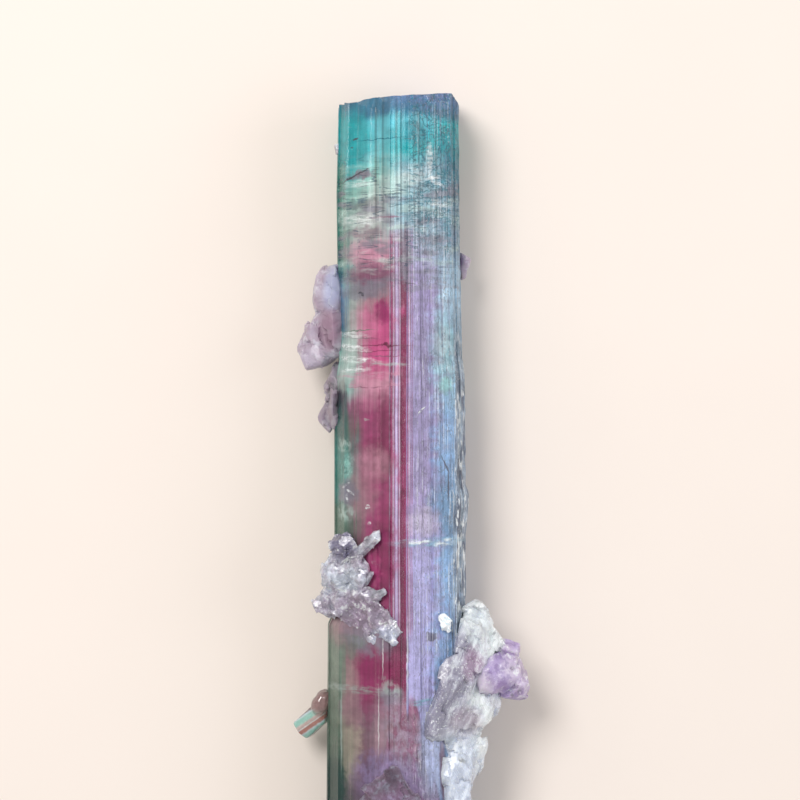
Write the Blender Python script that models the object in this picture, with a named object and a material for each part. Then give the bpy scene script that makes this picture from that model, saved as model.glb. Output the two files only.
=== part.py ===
"""A watermelon tourmaline crystal with the small minerals that grew on it.

It lies on its flat back, as a loose crystal does. X runs across the crystal, Y along it
towards its natural end, and Z up. The origin is the middle of the back face that it rests on.
Sizes are in millimetres up to the point where a mesh is made.
"""

import math
import random

import bmesh
import bpy
from mathutils import Euler, Matrix, Vector, noise

MM = 0.001

# The tourmaline prism: its whole length, and its depth at the natural tip and at the broken foot.
LENGTH = 115.2
DEPTH_TIP = 15.4
DEPTH_FOOT = 16.8
TIP_Y = LENGTH / 2
FOOT_Y = -LENGTH / 2

# How far the left and right sides stand from the middle line, as (distance along, half width).
# Each side widens in ledges where the crystal grew outwards.
LEFT_SIDE = (
    (TIP_Y, 8.5),
    (44.0, 8.8),
    (20.5, 8.5),
    (17.5, 9.1),
    (-14.6, 9.1),
    (-16.4, 10.0),
    (FOOT_Y, 10.3),
)
RIGHT_SIDE = (
    (TIP_Y, 8.3),
    (36.0, 8.5),
    (20.8, 8.8),
    (18.8, 9.15),
    (3.4, 9.3),
    (1.6, 9.8),
    (-4.0, 9.3),
    (FOOT_Y, 9.4),
)

# Corners of the cross-section, anticlockwise seen from the foot: (share of the half width,
# share of the depth, number of growth strips on the face that follows).
CORNERS = (
    (-0.60, 0.00, 1),
    (0.62, 0.00, 3),
    (0.90, 0.20, 2),
    (1.00, 0.47, 2),
    (0.985, 0.62, 2),
    (0.86, 0.79, 5),
    (0.22, 0.985, 2),
    (0.02, 1.00, 2),
    (-0.14, 0.965, 4),
    (-0.83, 0.70, 2),
    (-0.975, 0.55, 2),
    (-1.00, 0.38, 2),
    (-0.86, 0.15, 2),
)
STRIP_STEP = 0.022  # how deep the step between two growth strips is, as a share of the half width
STRIP_RISER = 0.035  # how much of a face's length each step takes up
STRIP_SEED = 11

# Flat cuts, as (point on the plane, direction that is cut away).
# The natural tip has a flat top, a low left shoulder, a clipped right corner and steep bevels.
TIP_CUTS = (
    ((0, 56.7, 15.4), (-0.06, 1, 0.1)),
    ((-8.5, 56.05, 8), (-0.13, 0.99, 0)),
    ((8.3, 56.3, 8), (0.85, 0.5, 0.1)),
    ((-4.0, 54.4, 13.3), (-0.42, 0.36, 0.83)),
    ((4.8, 54.6, 13.9), (0.33, 0.40, 0.86)),
    ((0, 56.3, 0), (0, 0.55, -0.83)),
    ((-9.0, 54.8, 5), (-0.90, 0.42, -0.2)),
)
# The foot is a rough break. The last cut is the chip that came off the front above it.
FOOT_CUTS = (
    ((0, -57.6, 0), (0.06, -1, 0.03)),
    ((6.5, -56.0, 11), (0.45, -0.85, 0.32)),
    ((-7.0, -56.4, 9), (-0.38, -0.90, 0.12)),
    ((1.0, -55.6, 15), (0.05, -0.72, 0.70)),
    ((1.2, -27.0, 16.35), (0.06, -0.103, 0.993)),
)

# Where the outline is cut across before it is shaped.
STATIONS = (50.0, 44.0, 36.0, 28.0, 20.8, 18.8, 17.5, 3.4, 1.6, -4.0, -14.6, -16.4, -30.0, -45.0)

# Grains of each cluster: centre, half sizes, turn in degrees, seed, flats, block.
UPPER_LEFT_GRAINS = (
    ((-10.4, 30.0, 6.6), (1.9, 4.2, 2.2), (0, 10, -4), 3, 8, False),
    ((-9.0, 31.2, 7.4), (1.3, 2.7, 1.6), (12, 0, -18), 5, 6, True),
    ((-10.9, 22.7, 6.4), (3.2, 2.9, 2.9), (0, 0, 12), 8, 9, False),
    ((-13.1, 22.3, 6.6), (1.4, 1.5, 1.6), (0, 20, 0), 13, 6, False),
    ((-11.3, 25.0, 7.0), (1.8, 0.9, 1.6), (0, 10, 4), 17, 5, True),
    ((-9.6, 26.2, 6.4), (2.4, 2.6, 2.2), (0, 0, -20), 19, 7, False),
    ((-11.6, 20.9, 7.4), (1.7, 1.2, 1.8), (0, -14, 20), 20, 6, True),
)
MIDDLE_LEFT_GRAINS = (
    ((-9.2, 17.3, 6.4), (0.95, 0.85, 1.3), (0, 0, 40), 4, 5, True),
    ((-9.2, 15.4, 6.4), (0.95, 0.8, 1.3), (0, 0, 38), 7, 5, True),
    ((-9.5, 12.8, 6.3), (1.55, 2.15, 1.8), (0, 0, 8), 9, 8, False),
    ((-8.7, 18.9, 6.6), (0.8, 1.3, 1.1), (0, 0, -14), 12, 5, True),
    ((-9.2, 14.2, 7.6), (1.0, 1.2, 1.1), (0, -20, 16), 14, 6, False),
)
FRONT_LEFT_GRAINS = (
    ((-7.6, -5.3, 11.4), (2.1, 2.1, 2.1), (0, 0, 20), 21, 9, False),
    ((-8.0, -9.2, 10.9), (3.3, 2.9, 2.6), (0, -30, 10), 23, 9, False),
    ((-5.6, -8.6, 13.2), (1.9, 1.5, 1.4), (0, -33, 30), 24, 7, True),
    ((-9.5, -12.9, 8.8), (1.7, 2.2, 2.2), (0, 0, -35), 25, 8, True),
    ((-6.9, -12.9, 11.8), (3.1, 2.8, 2.0), (0, -33, -20), 27, 8, False),
    ((-4.9, -12.0, 13.5), (2.9, 1.8, 1.7), (0, -25, -44), 29, 8, False),
    ((-2.6, -14.9, 15.3), (2.8, 1.7, 1.4), (0, -22, -44), 31, 8, False),
    ((-1.3, -16.6, 16.0), (1.5, 1.2, 0.9), (0, -16, -40), 33, 6, True),
    ((-8.4, -7.6, 9.6), (1.7, 1.6, 1.9), (0, -20, -12), 35, 7, False),
)
FRONT_LEFT_RODS = (
    ((-7.0, -7.4, 12.4), (-2.7, -3.2, 15.6), 1.15, 1.3, 2),
    ((-4.4, -12.6, 14.6), (-1.4, -10.9, 16.2), 0.65, 0.6, 5),
    ((-7.4, -8.9, 12.6), (-4.6, -9.6, 15.2), 0.7, 0.7, 6),
)
RIGHT_BLADES = (
    ((11.5, -16.7, 10.4), (1.35, 3.8, 1.4), (4, 22, 27), 41, 1, True),
    ((8.8, -20.0, 12.5), (1.8, 4.6, 1.5), (0, 26, -16), 43, 8, True),
    ((6.9, -26.0, 13.8), (2.2, 5.4, 1.5), (0, 24, -18), 45, 8, True),
    ((10.3, -21.4, 11.4), (2.2, 3.4, 1.8), (0, 28, -8), 46, 7, True),
    ((10.1, -28.2, 11.0), (2.9, 4.2, 2.6), (0, 30, -26), 47, 9, False),
    ((12.0, -27.6, 9.4), (2.1, 2.9, 2.3), (0, 30, -34), 48, 8, False),
    ((9.0, -34.3, 10.8), (3.1, 4.2, 3.0), (0, 20, -22), 49, 9, False),
    ((7.4, -33.6, 12.9), (1.9, 3.4, 1.7), (0, 25, -10), 50, 7, False),
    ((7.7, -40.1, 12.0), (2.5, 4.9, 2.8), (0, 18, 4), 51, 8, False),
)
RIGHT_PURPLE_GRAINS = (
    ((14.0, -22.6, 9.6), (3.1, 3.5, 2.8), (0, 20, 30), 61, 10, False),
    ((15.0, -20.0, 10.0), (1.6, 1.5, 1.5), (0, 0, 20), 63, 7, False),
    ((15.9, -24.0, 9.2), (1.9, 2.9, 1.9), (0, 0, 12), 65, 8, False),
    ((11.6, -23.8, 11.0), (2.6, 3.1, 2.3), (0, 28, -16), 67, 8, False),
)
LOWER_FRONT_GRAINS = (
    ((-4.0, -40.4, 14.5), (2.6, 4.2, 1.4), (6, -24, -20), 71, 9, False),
    ((-1.0, -38.0, 15.3), (2.7, 4.2, 1.3), (4, 0, -14), 73, 9, False),
    ((1.8, -41.0, 15.0), (2.4, 4.6, 1.3), (4, 8, 14), 74, 8, False),
    ((-0.6, -45.6, 14.6), (3.4, 4.8, 1.5), (5, 0, 12), 75, 9, False),
    ((-4.0, -47.6, 14.1), (2.8, 3.8, 1.5), (4, -20, 0), 77, 8, False),
)
SIDE_RODS = (
    ((-7.0, -25.5, 6.2), (-13.9, -31.8, 4.6), 1.75, 0.0, 3),
    ((-8.2, -25.7, 5.6), (-11.4, -27.4, 6.6), 1.3, 0.5, 8),
)
RIGHT_CHIP_GRAINS = (
    ((8.5, 34.5, 6.9), (0.8, 1.1, 0.8), (0, 20, -24), 81, 4, True),
    ((8.45, 32.6, 6.9), (0.55, 1.7, 1.0), (0, 10, -3), 82, 4, False),
)
TIP_CHIP_GRAINS = (((-8.8, 50.2, 7.6), (0.55, 0.7, 0.6), (0, 0, 10), 83, 4, True),)
FLECK_GRAINS = (((6.2, -15.6, 14.3), (0.8, 0.8, 0.5), (0, 26, 15), 85, 4, True),)

CRYSTAL_COLOUR = (0.36, 0.20, 0.34)
LEPIDOLITE_COLOUR = (0.42, 0.32, 0.45)
QUARTZ_COLOUR = (0.60, 0.56, 0.62)
ALBITE_COLOUR = (0.72, 0.72, 0.76)
SIDE_CRYSTAL_COLOUR = (0.50, 0.42, 0.36)

# Clearance between minerals that touch, because meshes are made of short numbers.
GAP = 0.3
REACH = 9.0  # half width at which growing the crystal by GAP is worked out


def read_profile(profile, along):
    """The value of a profile of (distance, value) pairs, farthest first, at a distance."""
    if along >= profile[0][0]:
        return profile[0][1]
    for (far, far_value), (near, near_value) in zip(profile, profile[1:]):
        if along >= near:
            share = (along - near) / (far - near)
            return near_value + (far_value - near_value) * share
    return profile[-1][1]


def depth_at(along):
    share = (along - FOOT_Y) / LENGTH
    return DEPTH_FOOT + (DEPTH_TIP - DEPTH_FOOT) * share


def section_outline():
    """The cross-section in shares, with the flat growth strips that step in and out of each face."""
    dice = random.Random(STRIP_SEED)
    outline = []
    for index, (across, up, strips) in enumerate(CORNERS):
        next_across, next_up, _ = CORNERS[(index + 1) % len(CORNERS)]
        start, end = Vector((across, up)), Vector((next_across, next_up))
        run = end - start
        outward = Vector((run.y, -run.x)).normalized()
        outline.append(start)
        if strips < 2:
            continue
        level = 0.0
        for strip in range(1, strips):
            middle = (strip + dice.uniform(-0.22, 0.22)) / strips
            sunk = -STRIP_STEP * dice.uniform(0.3, 1.0) if level == 0.0 else 0.0
            outline.append(start + run * (middle - STRIP_RISER / 2) + outward * level)
            outline.append(start + run * (middle + STRIP_RISER / 2) + outward * sunk)
            level = sunk
        if level:
            outline.append(start + run * (1 - STRIP_RISER) + outward * level)
    return outline


def shape_section(corner, grow):
    """Moves one vertex from shares of the section to its real place. grow widens the crystal all round."""
    across, up, along = corner
    half = read_profile(RIGHT_SIDE if across > 0 else LEFT_SIDE, along)
    depth = depth_at(along)
    widen = 1 + grow / REACH
    height = depth / 2 + (up * depth - depth / 2) * (1 + grow / (depth / 2) * 1.1)
    return Vector((across * half * widen * (1 + 0.1 * grow / REACH), along, height))


def new_object(name, mesh, collection, location=(0, 0, 0)):
    made = bpy.data.objects.new(name, mesh)
    made.location = location
    collection.objects.link(made)
    return made


def bmesh_to_object(name, bm, collection):
    bmesh.ops.recalc_face_normals(bm, faces=bm.faces)
    mesh = bpy.data.meshes.new(name)
    bm.to_mesh(mesh)
    bm.free()
    return new_object(name, mesh, collection)


def slice_off(bm, point, normal):
    """Cuts away what lies past a plane, and closes the cut with a flat face."""
    geometry = bm.verts[:] + bm.edges[:] + bm.faces[:]
    bmesh.ops.bisect_plane(
        bm, geom=geometry, dist=1e-6, plane_co=point, plane_no=normal, clear_outer=True
    )
    rim = [edge for edge in bm.edges if edge.is_boundary]
    if rim:
        bmesh.ops.holes_fill(bm, edges=rim, sides=0)


def extruded_section(name, collection):
    """The outline drawn as a flat curve, extruded to the crystal's length and turned to run along Y."""
    curve = bpy.data.curves.new(name, "CURVE")
    curve.dimensions = "2D"
    curve.fill_mode = "BOTH"
    curve.extrude = LENGTH / 2
    outline = section_outline()
    spline = curve.splines.new("POLY")
    spline.points.add(len(outline) - 1)
    for point, corner in zip(spline.points, outline):
        point.co = (corner.x, corner.y, 0, 1)
    spline.use_cyclic_u = True
    drawn = new_object(name, curve, collection)
    drawn.rotation_euler = Euler((math.pi / 2, 0, 0))
    bpy.context.view_layer.update()
    evaluated = drawn.evaluated_get(bpy.context.evaluated_depsgraph_get())
    mesh = bpy.data.meshes.new_from_object(evaluated)
    mesh.transform(drawn.matrix_world)
    bpy.data.objects.remove(drawn)
    bpy.data.curves.remove(curve)
    bm = bmesh.new()
    bm.from_mesh(mesh)
    bpy.data.meshes.remove(mesh)
    bmesh.ops.remove_doubles(bm, verts=bm.verts, dist=1e-5)
    return bm


def cut_ends(bm, grow):
    """Cuts the natural tip, the broken foot, and the chip that came off the front above the foot."""
    for point, normal in TIP_CUTS + FOOT_CUTS:
        outward = Vector(normal).normalized()
        slice_off(bm, (Vector(point) + outward * grow) * MM, outward)


def build_crystal(name, collection, grow=0.0):
    bm = extruded_section(name, collection)
    for along in STATIONS:
        geometry = bm.verts[:] + bm.edges[:] + bm.faces[:]
        bmesh.ops.bisect_plane(
            bm, geom=geometry, dist=1e-6, plane_co=(0, along, 0), plane_no=(0, 1, 0)
        )
    for vert in bm.verts:
        along = vert.co.y
        vert.co = shape_section((vert.co.x, vert.co.z, along), grow) * MM
    bmesh.ops.recalc_face_normals(bm, faces=bm.faces)
    cut_ends(bm, grow)
    return bmesh_to_object(name, bm, collection)


def turned(vector, angles):
    return Euler([math.radians(angle) for angle in angles]).to_matrix() @ vector


def grain(name, collection, centre, half, turn, seed, flats=7, block=False):
    """One mineral grain: a ball, or a block where the mineral cleaves, with flat faces cut round it."""
    dice = random.Random(seed)
    bm = bmesh.new()
    if block:
        bmesh.ops.create_cube(bm, size=2)
    else:
        bmesh.ops.create_icosphere(bm, subdivisions=2, radius=1)
        for vert in bm.verts:
            rough = noise.noise(vert.co * 1.7 + Vector((seed, 0, 0)))
            vert.co *= 1 + 0.16 * rough
    for _ in range(flats):
        normal = Vector([dice.gauss(0, 1) for _ in range(3)]).normalized()
        if block:
            corner = sum(abs(part) for part in normal)
            reach = corner * dice.uniform(0.68, 0.88)
        else:
            reach = dice.uniform(0.74, 0.9)
        slice_off(bm, normal * reach, normal)
    bmesh.ops.dissolve_limit(bm, angle_limit=math.radians(3), verts=bm.verts, edges=bm.edges)
    for vert in bm.verts:
        sized = Vector([part * size for part, size in zip(vert.co, half)])
        vert.co = (turned(sized, turn) + Vector(centre)) * MM
    return bmesh_to_object(name, bm, collection)


def rod(name, collection, start, end, radius, sides=6, tip=0.0, seed=0):
    """A six-sided crystal from start to end. tip is the length of its pointed end."""
    axis = Vector(end) - Vector(start)
    body = axis.length - tip
    bm = bmesh.new()
    bmesh.ops.create_cone(
        bm, cap_ends=True, segments=sides, radius1=radius, radius2=radius, depth=body,
        matrix=Matrix.Translation((0, 0, body / 2)),
    )
    if tip:
        top = max(bm.faces, key=lambda face: face.calc_center_median().z)
        peak = bmesh.ops.poke(bm, faces=[top])["verts"][0]
        peak.co.z += tip
    dice = random.Random(seed)
    spin = Matrix.Rotation(dice.uniform(0, math.pi), 4, "Z")
    place = Matrix.Translation(start) @ axis.to_track_quat("Z", "X").to_matrix().to_4x4() @ spin
    for vert in bm.verts:
        vert.co = (place @ vert.co) * MM
    return bmesh_to_object(name, bm, collection)


def material(name, colour, roughness, transmission=0.0):
    made = bpy.data.materials.new(name)
    made.use_nodes = True
    shader = made.node_tree.nodes["Principled BSDF"]
    shader.inputs["Base Color"].default_value = (*colour, 1)
    shader.inputs["Roughness"].default_value = roughness
    shader.inputs["Metallic"].default_value = 0.0
    shader.inputs["Transmission Weight"].default_value = transmission
    made.diffuse_color = (*colour, 1)
    return made


def add_boolean(target, other, operation):
    cut = target.modifiers.new(f"{operation.lower()} {other.name}", "BOOLEAN")
    cut.operation = operation
    cut.solver = "EXACT"
    cut.object = other
    other.hide_render = True
    other.display_type = "WIRE"


def freeze(target):
    """Turns a piece with its Booleans into the plain mesh that they make."""
    bpy.context.view_layer.update()
    evaluated = target.evaluated_get(bpy.context.evaluated_depsgraph_get())
    mesh = bpy.data.meshes.new_from_object(evaluated)
    target.modifiers.clear()
    target.data = mesh


def cluster(name, grains, cutters, helpers):
    """Joins grains that grew into each other, and cuts away what they share with their neighbours."""
    first = grains[0]
    first.name = name
    for other in grains[1:]:
        add_boolean(first, other, "UNION")
    for cutter in cutters:
        add_boolean(first, cutter, "DIFFERENCE")
    freeze(first)
    for other in grains[1:]:
        helpers.objects.unlink(other)
        bpy.data.objects.remove(other)
    return first


def grains_from(rows, label, helpers, grow=0.0):
    made = []
    for number, (centre, half, turn, seed, flats, block) in enumerate(rows):
        wide = [size + grow for size in half]
        made.append(grain(f"{label}_{number}", helpers, centre, wide, turn, seed, flats, block))
    return made


def rods_from(rows, label, helpers):
    return [
        rod(f"{label}_rod_{number}", helpers, start, end, radius, tip=tip, seed=seed)
        for number, (start, end, radius, tip, seed) in enumerate(rows)
    ]


def finish_piece(piece, parts, helpers, look):
    helpers.objects.unlink(piece)
    parts.objects.link(piece)
    piece.hide_render = False
    piece.data.materials.clear()
    piece.data.materials.append(look)
    return piece


def main():
    for old in list(bpy.data.objects):
        bpy.data.objects.remove(old)
    parts = bpy.data.collections.new("watermelon_tourmaline")
    helpers = bpy.data.collections.new("cutters")
    bpy.context.scene.collection.children.link(parts)
    bpy.context.scene.collection.children.link(helpers)

    crystal = build_crystal("tourmaline_crystal", parts)
    crystal.data.materials.append(material("tourmaline", CRYSTAL_COLOUR, 0.15, 0.8))
    room = build_crystal("crystal_room", helpers, grow=GAP)

    lepidolite = material("lepidolite", LEPIDOLITE_COLOUR, 0.35)
    quartz = material("quartz", QUARTZ_COLOUR, 0.15, 0.5)
    albite = material("albite", ALBITE_COLOUR, 0.3)
    side_look = material("side_tourmaline", SIDE_CRYSTAL_COLOUR, 0.1, 0.7)

    blades = cluster("right_albite_blades", grains_from(RIGHT_BLADES, "blade", helpers), [room], helpers)
    blade_rooms = grains_from(RIGHT_BLADES, "blade_room", helpers, grow=1.5 * GAP)
    purple_grains = grains_from(RIGHT_PURPLE_GRAINS, "purple", helpers)
    purple = cluster("right_lepidolite", purple_grains, [room] + blade_rooms, helpers)

    upper_grains = grains_from(UPPER_LEFT_GRAINS, "upper", helpers)
    upper = cluster("upper_left_lepidolite", upper_grains, [room], helpers)
    middle_grains = grains_from(MIDDLE_LEFT_GRAINS, "middle", helpers)
    middle = cluster("middle_left_lepidolite", middle_grains, [room], helpers)
    front_grains = grains_from(FRONT_LEFT_GRAINS, "front", helpers)
    front_grains += rods_from(FRONT_LEFT_RODS, "front", helpers)
    front = cluster("front_left_quartz", front_grains, [room], helpers)
    lower_grains = grains_from(LOWER_FRONT_GRAINS, "lower", helpers)
    lower = cluster("lower_front_lepidolite", lower_grains, [room], helpers)
    side = cluster("side_tourmaline", rods_from(SIDE_RODS, "side", helpers), [room], helpers)
    right_chip = cluster("right_edge_chip", grains_from(RIGHT_CHIP_GRAINS, "chip", helpers), [room], helpers)
    tip_chip = cluster("tip_chip", grains_from(TIP_CHIP_GRAINS, "tip", helpers), [room], helpers)
    fleck = cluster("albite_fleck", grains_from(FLECK_GRAINS, "fleck", helpers), [room], helpers)

    looks = (
        (blades, albite), (purple, lepidolite), (upper, lepidolite), (middle, lepidolite),
        (front, quartz), (lower, lepidolite), (side, side_look), (right_chip, lepidolite),
        (tip_chip, quartz), (fleck, albite),
    )
    for piece, look in looks:
        finish_piece(piece, parts, helpers, look)


main()
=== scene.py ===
"""The looks of the watermelon tourmaline: fine surfaces, minerals, materials, light and camera.

Sizes are in millimetres up to the point where a mesh, a light or a camera is placed.
"""

import math
import random
from contextlib import contextmanager

import bmesh
import bpy
import numpy as np
from mathutils import Euler, Matrix, Vector, kdtree, noise


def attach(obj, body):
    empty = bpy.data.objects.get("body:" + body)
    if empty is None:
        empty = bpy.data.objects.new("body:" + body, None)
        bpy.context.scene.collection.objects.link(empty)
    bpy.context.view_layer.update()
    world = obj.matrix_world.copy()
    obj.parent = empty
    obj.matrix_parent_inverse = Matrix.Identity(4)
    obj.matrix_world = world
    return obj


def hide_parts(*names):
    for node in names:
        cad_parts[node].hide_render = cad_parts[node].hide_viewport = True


MM = 0.001

# The prism, with the same driving sizes as the solid that it stands for.
LENGTH = 115.2
DEPTH_TIP = 15.4
DEPTH_FOOT = 16.8
TIP_Y = LENGTH / 2
FOOT_Y = -LENGTH / 2
LEFT_SIDE = (
    (TIP_Y, 8.5),
    (44.0, 8.8),
    (20.5, 8.5),
    (17.5, 9.1),
    (-14.6, 9.1),
    (-16.4, 10.0),
    (FOOT_Y, 10.3),
)
RIGHT_SIDE = (
    (TIP_Y, 8.3),
    (36.0, 8.5),
    (20.8, 8.8),
    (18.8, 9.15),
    (3.4, 9.3),
    (1.6, 9.8),
    (-4.0, 9.3),
    (FOOT_Y, 9.4),
)
CORNERS = (
    (-0.60, 0.00, 1),
    (0.62, 0.00, 3),
    (0.90, 0.20, 2),
    (1.00, 0.47, 2),
    (0.985, 0.62, 2),
    (0.86, 0.79, 5),
    (0.22, 0.985, 2),
    (0.02, 1.00, 2),
    (-0.14, 0.965, 4),
    (-0.83, 0.70, 2),
    (-0.975, 0.55, 2),
    (-1.00, 0.38, 2),
    (-0.86, 0.15, 2),
)
STRIP_STEP = 0.022
STRIP_RISER = 0.035
STRIP_SEED = 11
TIP_CUTS = (
    ((0, 56.7, 15.4), (-0.06, 1, 0.1)),
    ((-8.5, 56.05, 8), (-0.13, 0.99, 0)),
    ((8.3, 56.3, 8), (0.85, 0.5, 0.1)),
    ((-4.0, 54.4, 13.3), (-0.42, 0.36, 0.83)),
    ((4.8, 54.6, 13.9), (0.33, 0.40, 0.86)),
    ((0, 56.3, 0), (0, 0.55, -0.83)),
    ((-9.0, 54.8, 5), (-0.90, 0.42, -0.2)),
)
FOOT_CUTS = (
    ((0, -57.6, 0), (0.06, -1, 0.03)),
    ((6.5, -56.0, 11), (0.45, -0.85, 0.32)),
    ((-7.0, -56.4, 9), (-0.38, -0.90, 0.12)),
    ((1.0, -55.6, 15), (0.05, -0.72, 0.70)),
)
FRONT_CHIP = ((1.2, -27.0, 16.35), (0.06, -0.103, 0.993))

# Thin lumps that fill the minerals out, node by node: place, half sizes, turn in degrees.
FILLS = {
    "right_albite_blades": (
        ((7.9, -36.4, 12.6), (2.4, 5.0, 2.3), (0, 28, -6)),
        ((5.5, -28.6, 14.0), (1.9, 3.8, 1.1), (0, 28, -24)),
        ((7.3, -43.0, 12.2), (2.0, 3.8, 2.3), (0, 28, 8)),
        ((9.4, -22.6, 12.2), (2.2, 3.6, 1.6), (0, 28, -24)),
    ),
    "right_lepidolite": (((13.0, -22.8, 10.8), (2.9, 2.3, 2.0), (0, 10, -30)),),
    "front_left_quartz": (
        ((-5.4, -14.4, 12.9), (2.8, 2.6, 0.9), (0, -34, 0)),
        ((-3.2, -17.2, 14.2), (2.2, 1.8, 0.6), (0, -30, 30)),
    ),
    "upper_left_lepidolite": (
        ((-9.0, 25.2, 7.6), (1.5, 4.4, 2.0), (0, 0, 4)),
        ((-8.9, 29.6, 7.4), (1.3, 3.4, 2.0), (0, 0, 0)),
    ),
    "middle_left_lepidolite": (((-9.15, 15.2, 7.6), (0.8, 3.9, 2.0), (0, 0, 0)),),
    "side_tourmaline": (((-10.9, -27.5, 7.0), (1.3, 1.8, 1.3), (0, 0, -36)),),
}
# How much of their height the minerals on the lower front lose where they thin out.
SETTLED = {"front_left_quartz": 0.55, "lower_front_lepidolite": 0.75}
# Sharp prisms that stand on the minerals: foot, point and width.
PRISMS = {
    "front_left_quartz": (
        ((-6.6, -7.1, 12.7), (-2.5, -3.0, 15.7), 1.8),
        ((-3.4, -12.1, 15.1), (-1.7, -10.9, 16.0), 1.2),
        ((-7.6, -8.6, 12.0), (-6.6, -6.2, 13.6), 0.9),
        ((-4.6, -10.2, 14.0), (-3.6, -8.4, 15.0), 0.8),
    ),
    "middle_left_lepidolite": (
        ((-8.6, 17.3, 8.0), (-10.4, 16.5, 8.0), 1.1),
        ((-8.6, 16.0, 8.0), (-10.3, 15.1, 8.0), 1.0),
    ),
}

# The fine mesh of the prism, and how far its small forms stand out.
ROWS = 300
POINT_SPACING = 0.26
MEAN_HALF_WIDTH = 9.0
CAP_RINGS = 16
STRIA_DEPTH = 0.055
WRINKLE_DEPTH = 0.16
TIP_STEPS = 0.12
TIP_WAVE = 0.35
TIP_GRAIN = 0.10
FOOT_GRAIN = 0.35

# Where the point of a small crystal and of a sharp prism begins, by share of its length from the middle.
CRYSTAL_SHOULDER = 0.22
PRISM_SHOULDER = 0.36

# Edges that bend more than this, in degrees, are drawn sharp.
PRISM_SHARP = 16
MINERAL_SHARP = 22
WORN_SHARP = 30

# How strongly each mineral bends light.
TOURMALINE_IOR = 1.63
QUARTZ_IOR = 1.545
ALBITE_IOR = 1.53
MICA_IOR = 1.56

# The camera looks straight down on the front face, as the photograph does.
PHOTO_SIDE = 112.0  # how much of the reference plane the square picture takes in
REFERENCE_HEIGHT = 8.0
CAMERA_X = 0.14
CAMERA_Y = 15.02
LENS = 100.0
SENSOR = 36.0
NEAREST_SEEN = 0.01

# The lamps: name, place, size, watts and colour. Here, and for the floor, lengths are in metres.
LAMPS = (
    ("key", (-0.25, 0.31, 0.54), 0.30, 2.9, (1.0, 0.985, 0.97)),
    ("sheen", (0.50, 0.02, 0.33), 0.34, 0.9, (0.88, 0.92, 1.0)),
)
LAMP_AIM = (0, 0.01, 0.008)
SKY_COLOUR = (1.0, 0.965, 0.93, 1)
SKY_STRENGTH = 0.57
FLOOR_SIZE = 3.0
FLOOR_DROP = 0.0002


def read_profile(profile, along):
    """The value of a profile of (distance, value) pairs, farthest first, at each distance."""
    far_first = np.array(profile)[::-1]
    return np.interp(along, far_first[:, 0], far_first[:, 1])


def depth_at(along):
    return DEPTH_FOOT + (DEPTH_TIP - DEPTH_FOOT) * (along - FOOT_Y) / LENGTH


def section_outline():
    """The cross-section in shares, with the flat growth strips that step in and out of each face."""
    dice = random.Random(STRIP_SEED)
    outline = []
    for index, (across, up, strips) in enumerate(CORNERS):
        next_across, next_up, _ = CORNERS[(index + 1) % len(CORNERS)]
        start, end = Vector((across, up)), Vector((next_across, next_up))
        run = end - start
        outward = Vector((run.y, -run.x)).normalized()
        outline.append(start)
        if strips < 2:
            continue
        level = 0.0
        for strip in range(1, strips):
            middle = (strip + dice.uniform(-0.22, 0.22)) / strips
            sunk = -STRIP_STEP * dice.uniform(0.3, 1.0) if level == 0.0 else 0.0
            outline.append(start + run * (middle - STRIP_RISER / 2) + outward * level)
            outline.append(start + run * (middle + STRIP_RISER / 2) + outward * sunk)
            level = sunk
        if level:
            outline.append(start + run * (1 - STRIP_RISER) + outward * level)
    return outline


def fine_outline():
    """The section with points set close together, and the outward direction at each point."""
    coarse = section_outline()
    size = Vector((MEAN_HALF_WIDTH, DEPTH_TIP))
    points, outward = [], []
    for index, start in enumerate(coarse):
        end = coarse[(index + 1) % len(coarse)]
        run = end - start
        reach = Vector((run.x * size.x, run.y * size.y))
        steps = max(1, round(reach.length / POINT_SPACING))
        for step in range(steps):
            points.append(start + run * step / steps)
            outward.append(Vector((reach.y, -reach.x)).normalized())
    return np.array(points), np.array(outward)


def stria_levels(count, seed):
    """Flat strips a few points wide, each at its own small depth."""
    dice = random.Random(seed)
    levels = []
    while len(levels) < count:
        width = dice.choice((1, 1, 2, 2, 3, 4))
        levels += [dice.uniform(-1, 1)] * width
    return np.array(levels[:count])


def end_of_column(cuts, across, up, nearest):
    """Where the end planes stop a line that runs along the crystal at (across, up)."""
    ends = []
    for point, normal in cuts:
        slope = (across - point[0]) * normal[0] + (up - point[2]) * normal[2]
        ends.append(point[1] - slope / normal[1])
    return nearest(ends, axis=0)


def rough(points, scale, seed):
    """Soft noise between -1 and 1 at each of many points."""
    shift = Vector((seed * 7.3, seed * 3.1, seed * 5.7))
    flat = points.reshape(-1, 3)
    values = [noise.noise(Vector(point) * scale + shift) for point in flat]
    return np.array(values).reshape(points.shape[:-1])


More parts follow.
